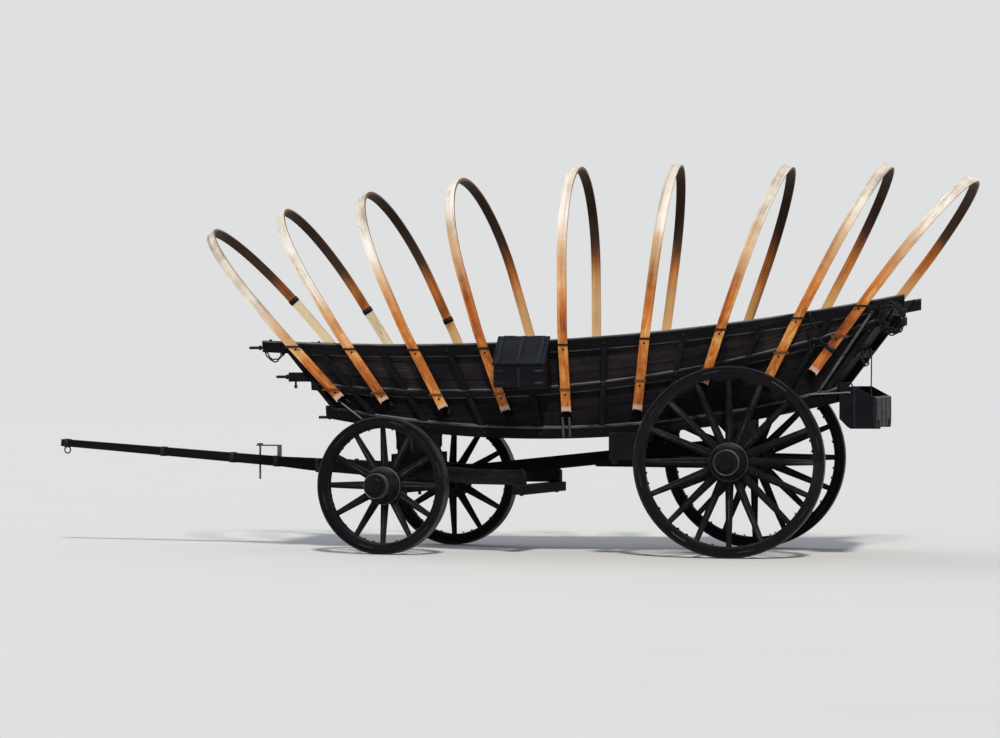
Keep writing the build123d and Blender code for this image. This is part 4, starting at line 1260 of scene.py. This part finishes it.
def foot_hooks(side, hand):
    normal = side_normal(side)
    hooks, hook_rivets = [], []
    for bow in bows:
        foot = bow.leg(side, bow.drop)
        below = (foot - bow.leg(side, bow.drop - 0.1)).normalized()
        hooks.append([(foot + below * t + normal * out, -below if up else normal) for t, out, up in HOOK])
        hook_rivets += [(foot + below * t + normal * (BEHIND + 0.0025), normal) for t in (0.065, 0.035)]
    straps(f"bow_hooks_{hand}", hooks, width=BOW_WIDTH - 0.010, thickness=0.004, metal="dark_iron")
    rivets(f"hook_rivets_{hand}", hook_rivets, metal="dark_iron")


for side, hand in SIDES:
    rail_irons(side, hand)
    foot_hooks(side, hand)

# %% [markdown]
# ### Left side irons
# The photograph shows the left side. A light stay runs down from the first bow's foot, a flat iron stands
# beside the last bow, and two hangers drop below the fifth. They are set by station and height, like the
# bolts.

# %% Stays and hangers
LEFT = side_normal(-1)
FRONT_STAY, REAR_STAY = [(-3.215, 1.235), (-3.03, 1.085)], [(1.139, 1.955), (0.703, 1.325)]
STAY_BOLTS = [(1.128, 1.940), (0.905, 1.617), (0.714, 1.341), (-3.207, 1.229), (-3.038, 1.091)]
HANGERS = [[(station, height) for height in (1.112, 1.030, 0.952)] for station in (-1.372, -1.318)]


def on_left(places, out):
    return [(on_side(-1, station, height, out), LEFT) for station, height in places]


straps("front_stay", [on_left(FRONT_STAY, 0.0028)], width=0.012, thickness=0.004, metal="pale_iron")
straps("rear_stay", [on_left(REAR_STAY, 0.0028)], width=0.022, metal="worn_iron")
heads("stay_bolts", on_left(STAY_BOLTS, 0.005), sides=8, radius=0.008, height=0.005)
straps("bow_5_hangers", [on_left(places, 0.0028) for places in HANGERS], width=0.020, metal="worn_iron")

# %% [markdown]
# ### Clasps and the side chain
# A clasp is a band round a bow's strip. The last bow has a broad one on its left leg, and a chain is hooked
# from it to an eye beside the eighth bow, with its loose end hanging straight. Three front bows carry a
# narrow black clasp above the far rail.

# %% Clasps and side chain
CLASP_AT = 0.464
last_bow = bows[-1]
leg_line = (last_bow.leg(-1, CLASP_AT) - last_bow.leg(-1, CLASP_AT - 0.1)).normalized()
leg_out = -last_bow.across
leg_out = (leg_out - leg_line * leg_out.dot(leg_line)).normalized()
leg_middle = last_bow.leg(-1, CLASP_AT) - leg_out * (BOW_THICKNESS / 2)
straps("bow_9_clasp", [clasp(leg_middle, leg_out.cross(leg_line), leg_out)], width=0.040, closed=True)
chain_eye, loose_end = on_side(-1, 0.655, 1.925, 0.036), on_side(-1, 0.640, 1.700, 0.014)
hung = hanging(chain_eye, last_bow.leg(-1, CLASP_AT, 0.018), 0.045)
chain("side_chain", [hung, hanging(chain_eye, loose_end, 0.0)], pitch=0.034, thick=0.0052)
heads("side_chain_eye", on_left([(0.655, 1.925)], 0.0), sides=10, height=0.036, crown=0.7)
clasps = []
for bow, rise in zip(bows, (0.50, 0.36, 0.246)):
    middle, out = bow.strip(1, rise)
    clasps.append(clasp(middle, bow.across.cross(bow.up).normalized(), out))
straps("far_clasps", clasps, width=0.042, closed=True)

# %% [markdown]
# ### Chains at the ends
# A short chain hangs from the left rail's front tip. A longer one is coiled on its rear tip, as a chain is
# that locks a wheel downhill. Each turn of the coil is a ring a little smaller and further out than the
# last, drawn down by its weight.

# %% Coil, short chain and their eyes
FRONT_EYE, FRONT_HOOK = on_side(-1, -3.815, 1.655, 0.010), on_side(-1, -3.665, 1.628, 0.010)
REAR_EYE, REAR_HOOK = on_side(-1, 1.300, 2.030, 0.012), on_side(-1, 1.235, 1.900, 0.012)
COIL_TURNS, COIL_RADIUS, COIL_SHRINK, COIL_STRETCH = 4, 0.098, 0.009, 0.3
end_paths = [hanging(FRONT_EYE, FRONT_HOOK, 0.070), hanging(REAR_EYE, REAR_HOOK, 0.090)]
for turn in range(COIL_TURNS):
    middle = REAR_EYE + Vector((0.005 * turn - 0.008, -0.013 * turn, -0.100))
    coil = ring(middle, LEFT, COIL_RADIUS - COIL_SHRINK * turn, 28)
    end_paths.append([(point + DOWN * COIL_STRETCH * (REAR_EYE.z - point.z), out) for point, out in coil])
chain("end_chains", end_paths)
eyes = [(point - LEFT * 0.010, LEFT) for point in (FRONT_EYE, FRONT_HOOK, REAR_EYE, REAR_HOOK)]
heads("end_eyes", eyes, sides=10, height=0.030, crown=0.7)

# %% [markdown]
# ### Nails of the floor, bolts of the tie bars
# Floor boards are nailed to every cross sill, two nails to a board. The tie bars outside the gates are
# bolted through, so their heads lie on the raked ends.

# %% Floor nails and tie bolts
# Cross sill and board stand on the sill's line; their tops give the floor's height above it
FLOOR_TOP = 0.048 + 0.026
CROSS_SILLS = (-3.060, -2.700, -2.150, -1.600, -1.060, -0.530, 0.0, 0.420)
TIE_HEIGHTS = [(FRONT_FOOT, (1.209, 1.392, 1.637)), (REAR_FOOT, (1.365, 1.640, 1.965))]
floor_nails = []
for station in CROSS_SILLS:
    for board in range(-3, 4):
        for shift in (-0.052, 0.052):
            y = board * 0.152 + shift
            floor_nails.append((Vector((REAR_X + station, y, sag(BOTTOM, station) + FLOOR_TOP)), UP))
heads("floor_nails", floor_nails, sides=8, radius=0.0055, height=0.003, crown=0.6)
tie_bolts = []
for end, heights in TIE_HEIGHTS:
    facing = Vector((end[3] * cos(end[2]), 0, -sin(end[2])))
    for height in heights:
        x = REAR_X + end_station(end, height)
        tie_bolts += [(Vector((x, y, height)), facing) for y in (-0.50, -0.17, 0.17, 0.50)]
heads("tie_bolts", tie_bolts, radius=0.016, height=0.009)

# %% [markdown]
# ### Irons of the toolbox
# Three flat straps lie over the lid and end short of its edge, so they turn with it. On the box itself a
# strap stands below the middle one, corner irons hold the sides to the front, and rivets fasten them all.

# %% Lid straps and box irons
BOX_X, BOX_HALF, BOX_FRONT = REAR_X - 1.650, 0.200, -(FLARE_HALF + 0.277)
HINGE_HEIGHT, LID_FOOT, LID_END, LID_TOP = 1.758, 1.535, 0.350, 0.0185
HINGE = Vector((BOX_X, -half_width(HINGE_HEIGHT) - SEAM, HINGE_HEIGHT))
LEFTWARD, CORNER_ROWS = Vector((0, -1, 0)), (1.385, 1.480)
lid_down = Vector((0, BOX_FRONT - HINGE.y, LID_FOOT - HINGE_HEIGHT)).normalized()
lid_up = lid_down.cross(BACK).normalized()


def on_lid(x, along, above):
    return HINGE + Vector((x, 0, 0)) + lid_down * along + lid_up * (LID_TOP + above)


def on_box(x, y, z):
    """A point this far from the box's middle and behind its front."""
    return Vector((BOX_X + x, BOX_FRONT + y, z))


lid_straps = []
for x, start in ((-0.168, 0.030), (0.0, 0.016), (0.168, 0.030)):
    lid_straps.append([(on_lid(x, along, 0.0025), lid_up) for along in (start, LID_END)])
straps("lid_straps", lid_straps, "toolbox_lid", width=0.026)
lid_rows = [(x, along) for x in (-0.168, 0.0, 0.168) for along in (0.06, 0.14, 0.22, 0.30)]
rivets("lid_rivets", [(on_lid(x, along, 0.005), lid_up) for x, along in lid_rows], "toolbox_lid")
box_straps = [[(on_box(0, -0.0025, z), LEFTWARD) for z in (1.505, 1.352)]]
for side in (-1, 1):
    x, around = side * BOX_HALF, Vector((side, 0, 0))
    for z in CORNER_ROWS:
        front = [(on_box(x - side * inset, -0.0022, z), LEFTWARD) for inset in (0.070, 0.004)]
        box_straps.append(front + [(on_box(x + side * 0.0022, y, z), around) for y in (0.004, 0.080)])
straps("box_straps", box_straps, width=0.026, thickness=0.004)
box_rivets = [(on_box(0, -0.004, z), LEFTWARD) for z in (1.375, 1.430, 1.485)]
box_rivets += [(on_box(x, -0.004, z), LEFTWARD) for x in (-0.180, -0.145, 0.145, 0.180) for z in CORNER_ROWS]
rivets("box_rivets", box_rivets)

# %% [markdown]
# ### Irons of the trough
# A feed trough is soaked and knocked about, so four flat irons bind it underneath and two stand at each
# end. A thin iron saves its rim from wear. All are set from the trough's foot on the wagon's side.

# %% Straps, rim and rivets of the trough
TROUGH_X, TROUGH_LOW, TROUGH_HALF, TROUGH_BANDS = REAR_X + 0.862, 1.036, 0.700, (-0.62, -0.20, 0.20, 0.62)


def trough(x, y, z):
    return Vector((TROUGH_X + x, y, TROUGH_LOW + z))


trough_straps, trough_rivets = [], []
for y in TROUGH_BANDS:
    down = [(trough(0.2925, y, z), BACK) for z in (0.228, 0.004)]
    trough_straps.append(down + [(trough(x, y, -0.0025), DOWN) for x in (0.287, 0.080)])
    trough_rivets += [(trough(0.2945, y, z), BACK) for z in (0.05, 0.12, 0.19)]
for side in (-1, 1):
    out = Vector((0, side, 0))
    for x, top, rows in ((0.115, 0.315, (0.06, 0.16, 0.27)), (0.272, 0.225, (0.06, 0.19))):
        trough_straps.append([(trough(x, side * (TROUGH_HALF + 0.0025), z), out) for z in (top, 0.006)])
        trough_rivets += [(trough(x, side * (TROUGH_HALF + 0.0045), z), out) for z in rows]
straps("trough_straps", trough_straps, width=0.028, thickness=0.004)
rim = [[(trough(0.281, y, 0.2375), UP) for y in (-0.698, 0.698)]]
straps("trough_rim", rim, width=0.018, thickness=0.004, metal="worn_iron")
rivets("trough_rivets", trough_rivets, radius=0.007)

# %% [markdown]
# ### What steadies the trough
# A thin iron comes down to its outer rim from the middle tie bar, with a chain's loop beside it, and a
# small handle stands on its left end. Two light stays run to it along the sills, and a knob caps each arm.

# %% Hangers, handle, stays and knobs of the trough
HANGER = [(3.050, -0.668, 1.640), (3.140, -0.668, 1.652), (3.152, -0.670, 1.640)]
HANGER += [(3.152, -0.712, 1.325), (3.152, -0.712, 1.275)]
LOOP_ENDS = [Vector((3.070, -0.668, 1.630)), Vector((3.140, -0.668, 1.640))]
HANDLE_MIDDLE = Vector((2.975, -0.692, 1.352))
HANDLE_ARCH = [(0.030 * cos(pi * i / 8), 0.040 * sin(pi * i / 8)) for i in range(9)]
handle = [(HANDLE_MIDDLE + BACK * x + UP * z, BACK) for x, z in HANDLE_ARCH]
braces = []
for side in (-1, 1):
    brace = [on_side(side, station, height, 0.008) for station, height in ((0.625, 1.300), (0.855, 1.312))]
    brace += [Vector((x, side * 0.710, 1.314)) for x in (2.955, 2.990)]
    braces.append([(point, UP) for point in brace])
rods("trough_hangers", [[(Vector(point), BACK) for point in HANGER]], radius=0.0055, sides=8)
rods("trough_handles", [handle], radius=0.006, sides=8)
rods("trough_braces", braces, radius=0.0075, sides=8, metal="pale_iron")
chain("trough_loops", [hanging(*LOOP_ENDS, 0.100)])
arm_knobs = [(Vector((TROUGH_X - 0.030, side * 0.480, 1.2885)), UP) for side in (-1, 1)]
heads("arm_knobs", arm_knobs, sides=10, radius=0.020, height=0.020, metal="worn_iron")

# %% [markdown]
# ### Wheel irons
# A wheelwright shrinks hoops on the nave so that it can't split: here two beside the spokes, two toward its
# outer end and one at its back. On the felloes' inner side nuts show where the tyre bolts come through, and
# a riveted plate spans each joint between felloes.

# %% Hoops, nuts and plates of each wheel
# Tyre, seam and felloe, measured inward from the tread
FELLOE_IN = 0.015 + SEAM + 0.080
# Each hoop: distance out along the axle, and radius
FRONT_HOOPS = [(0.006, 0.1515), (0.161, 0.0985), (0.122, 0.0985)]
BACK_HOOPS = [(-0.096, 0.1515), (-0.236, 0.1115)]


def from_axle(wheel, angle):
    """The direction away from the axle's line at an angle round it."""
    return wheel["ahead"] * cos(angle) + UP * sin(angle)


for name, wheel in WHEELS.items():
    centre, outward, radius, body = wheel["centre"], wheel["outward"], wheel["radius"], f"{name}_wheel"
    for face, rows, metal in (("front", FRONT_HOOPS, "worn_iron"), ("back", BACK_HOOPS, "black_iron")):
        hoops = [ring(centre + outward * axial, outward, size, 40) for axial, size in rows]
        straps(f"{name}_{face}_hoops", hoops, body, width=0.020, thickness=0.006, closed=True, metal=metal)
    pitch, nuts, joint_plates = TURN / wheel["spokes"], [], []
    for joint in range(wheel["felloes"]):
        middle = (2 * joint - 0.5) * pitch
        outs = [from_axle(wheel, middle + pitch * t) for t in (-0.16, 0.16, 1.0)]
        nuts += [(centre + out * (radius - FELLOE_IN), -out) for out in outs]
        outs = [from_axle(wheel, middle + pitch * t) for t in (-0.24, -0.08, 0.08, 0.24)]
        joint_plates.append([(centre + out * (radius - 0.040) + outward * 0.0395, outward) for out in outs])
    heads(f"{name}_nuts", nuts, body, radius=0.011, height=0.008)
    straps(f"{name}_plates", joint_plates, body, width=0.024, thickness=0.004)
    ends = [(path[k][0] + outward * 0.002, outward) for path in joint_plates for k in (0, 3)]
    rivets(f"{name}_rivets", ends, body)

# %% [markdown]
# ### Irons of the front gear
# Iron bands bind the tongue, its jaws and the axle's ends, and a ring hangs at the tongue's tip. The gear
# is turned a few degrees, so its irons are placed in coordinates that turn with it: ahead of the kingpin,
# to the side, up.

# %% Bands and bolts of the front gear
# Each stage of the tongue: distance ahead of the kingpin, width, depth
TONGUE = [(0.330, 0.096, 0.104), (0.960, 0.096, 0.104), (1.235, 0.080, 0.082), (3.320, 0.060, 0.060)]
TIP, JAW_LOW, JAW_HIGH, HOUND_END, HOUND_SIDE = 3.272, 0.638, 0.7475, -1.055, 0.4389
tongue_up = gear_right.cross(tongue_line).normalized()


def gear(ahead, side, height):
    return Vector((KINGPIN_X, 0, height)) + gear_ahead * ahead + gear_right * side


def tongue_middle(ahead):
    return 0.655 + (ahead - TONGUE[0][0]) * tan(TONGUE_RISE)


def tongue_size(ahead):
    for (near, *thick), (far, *thin) in zip(TONGUE, TONGUE[1:]):
        if ahead <= far:
            return [a + (b - a) * (ahead - near) / (far - near) for a, b in zip(thick, thin)]


tongue_bands = []
for ahead in (1.290, 1.700, 2.350, TIP):
    halves = [size / 2 + 0.003 for size in tongue_size(ahead)]
    tongue_bands.append(band(gear(ahead, 0, tongue_middle(ahead)), gear_right, tongue_up, *halves))
straps("tongue_bands", tongue_bands, "front_gear", width=0.040, closed=True)
jaw = band(gear(0.868, 0, (JAW_LOW + JAW_HIGH) / 2), gear_right, UP, 0.1215, (JAW_HIGH - JAW_LOW) / 2)
straps("jaw_bands", [jaw], "front_gear", width=0.045, thickness=0.006, closed=True)
axle_bands = [band(gear(0, side, 0.543), gear_ahead, UP, 0.0605, 0.0605) for side in (-0.520, 0.520)]
straps("front_axle_bands", axle_bands, "front_gear", width=0.045, thickness=0.006, closed=True)
GEAR_BOLTS = [(HOUND_END, HOUND_SIDE, 0.6793), (0.800, 0.0825, 0.7421), (0.600, 0.0825, 0.7356)]
gear_bolts = [(gear(ahead, side * out, height), UP) for ahead, out, height in GEAR_BOLTS for side in (-1, 1)]
heads("gear_bolts", gear_bolts, "front_gear", radius=0.020, height=0.012)
sway_bolts = [(gear(HOUND_END, side * HOUND_SIDE, 0.4838), DOWN) for side in (-1, 1)]
heads("sway_bolts", sway_bolts, "front_gear", radius=0.018, height=0.012)
tip_ring = ring(gear(TIP, 0, tongue_middle(TIP) - 0.060), gear_right, 0.028)
rods("tongue_ring", [tip_ring], "front_gear", radius=0.006, sides=8, closed=True)

# %% [markdown]
# ### Irons of the rear axle and the bolsters
# Flat plates tie the rear axle to its bolster and stiffen the front bolster's ends. The hounds are bolted
# to the axle and to the reach, and a turned iron knob hangs under each brake shoe.

# %% Plates, bolts and knobs
AXLE_FACE, BOLSTER_FACE, BEAM_BACK = 0.0605, 0.0585, 0.880


def plates_on(x, half, sides, heights):
    """Upright flat irons on the front and back faces of a cross timber, on both sides of the wagon."""
    faces = [(x + way * half, side, Vector((way, 0, 0))) for side in sides for way in (-1, 1)]
    return [[(Vector((face, side, z)), out) for z in heights] for face, side, out in faces]


axle_plates = plates_on(REAR_X, AXLE_FACE, (-0.500, 0.500), (0.705, 1.060))
straps("rear_axle_plates", axle_plates, width=0.050, thickness=0.006)
plate_bolts = plates_on(REAR_X, AXLE_FACE + 0.003, (-0.500, 0.500), (0.730, 0.800, 0.860, 1.030))
heads("rear_plate_bolts", sum(plate_bolts, []), radius=0.014, height=0.009)
HOUND_BOLTS = [(0.16, 0.345), (1.05, 0.066)]
hound_bolts = [(Vector((REAR_X - t, side * y, 0.766)), UP) for t, y in HOUND_BOLTS for side in (-1, 1)]
heads("hound_bolts", hound_bolts, radius=0.016, height=0.010)
straps("bolster_plates", plates_on(KINGPIN_X, BOLSTER_FACE, (-0.560, 0.560), (0.845, 0.985)), width=0.045)
shoe_knobs = [(Vector((REAR_X - BEAM_BACK - 0.035, side * 0.821, 0.7755)), DOWN) for side in (-1, 1)]
heads("shoe_knobs", shoe_knobs, sides=12, radius=0.030, height=0.034, crown=0.65)

# %% [markdown]
# ## Floor and light
# A pale floor and a pale world give soft light from all round. Two broad lamps shape the wagon: the key
# comes from high on the camera's side, so the toolbox shades the boards under it, and a weak fill comes
# from behind.

# %% Stage floor
REACH = 60.0
corners = [(-REACH, -REACH, 0), (REACH, -REACH, 0), (REACH, REACH, 0), (-REACH, REACH, 0)]
sheet = bpy.data.meshes.new("floor_sheet")
sheet.from_pydata(corners, [], [(0, 1, 2, 3)])
stage_floor = add_to_scene(bpy.data.objects.new("floor_sheet", sheet))
floor_net = start_material("pale_floor")
speckle = floor_net.noise(floor_net.add("ShaderNodeTexCoord", out="Object"), 0.8, 3.0, 0.5)
finish_material(floor_net, floor_net.mix(speckle, (0.70, 0.695, 0.685), (0.74, 0.735, 0.725)), 0.95)
sheet.materials.append(finishes["pale_floor"])
print("floor", 2 * REACH, "m across")

# %% [markdown]
# The world lights the wagon with a dim cool grey, but the camera and the shine on the iron see it pale, so
# the background stays plain and the iron doesn't go black. A Light Path node tells these rays apart.

# %% Sky
world = bpy.data.worlds.new("pale_sky")
bpy.context.scene.world = world
world.use_nodes = True
sky = Net(world.node_tree)
backdrop = world.node_tree.nodes["Background"]
rays = sky.add("ShaderNodeLightPath")
seen = (rays + rays.output("Is Glossy Ray") + rays.output("Is Transmission Ray")).math("MINIMUM", 1.0)
sky_colour = sky.mix(seen, (0.26, 0.285, 0.32), (0.74, 0.745, 0.75))
world.node_tree.links.new(sky_colour.socket, backdrop.inputs["Color"])
backdrop.inputs["Strength"].default_value = 1.0
print("sky nodes:", len(world.node_tree.nodes))

# %% [markdown]
# Both lamps are suns, so they light the floor evenly all the way back. The camera stands far off with a
# long lens on the wagon's left, as in the photograph, so the wagon looks nearly flat from the side.

# %% Lamps and camera
EYE, AIM = Vector((REAR_X + 3.473, -26.586, 1.479)), Vector((0.02, 0.0, 1.50))


def lamp(name, toward, power, spread, colour):
    data = bpy.data.lights.new(name, "SUN")
    data.energy, data.angle, data.color = power, radians(spread), colour
    light = add_to_scene(bpy.data.objects.new(name, data))
    light.location = Vector(toward) * 12
    light.rotation_euler = Vector(toward).to_track_quat("Z", "Y").to_euler()


lamp("key", (0.22, -0.66, 0.72), 2.8, 6, (1.0, 0.965, 0.91))
lamp("fill", (-0.75, 0.45, 0.48), 0.7, 50, (0.92, 0.96, 1.0))
camera_data = bpy.data.cameras.new("camera")
camera_data.lens, camera_data.sensor_width, camera_data.clip_end = 118.0, 36.0, 200.0
camera = add_to_scene(bpy.data.objects.new("camera", camera_data))
camera.location = EYE
camera.rotation_euler = (AIM - EYE).to_track_quat("-Z", "Y").to_euler()
bpy.context.scene.camera = camera
bpy.context.scene.view_settings.view_transform = "Standard"
print("camera", round((AIM - EYE).length, 2), "m away")

# %% [markdown]
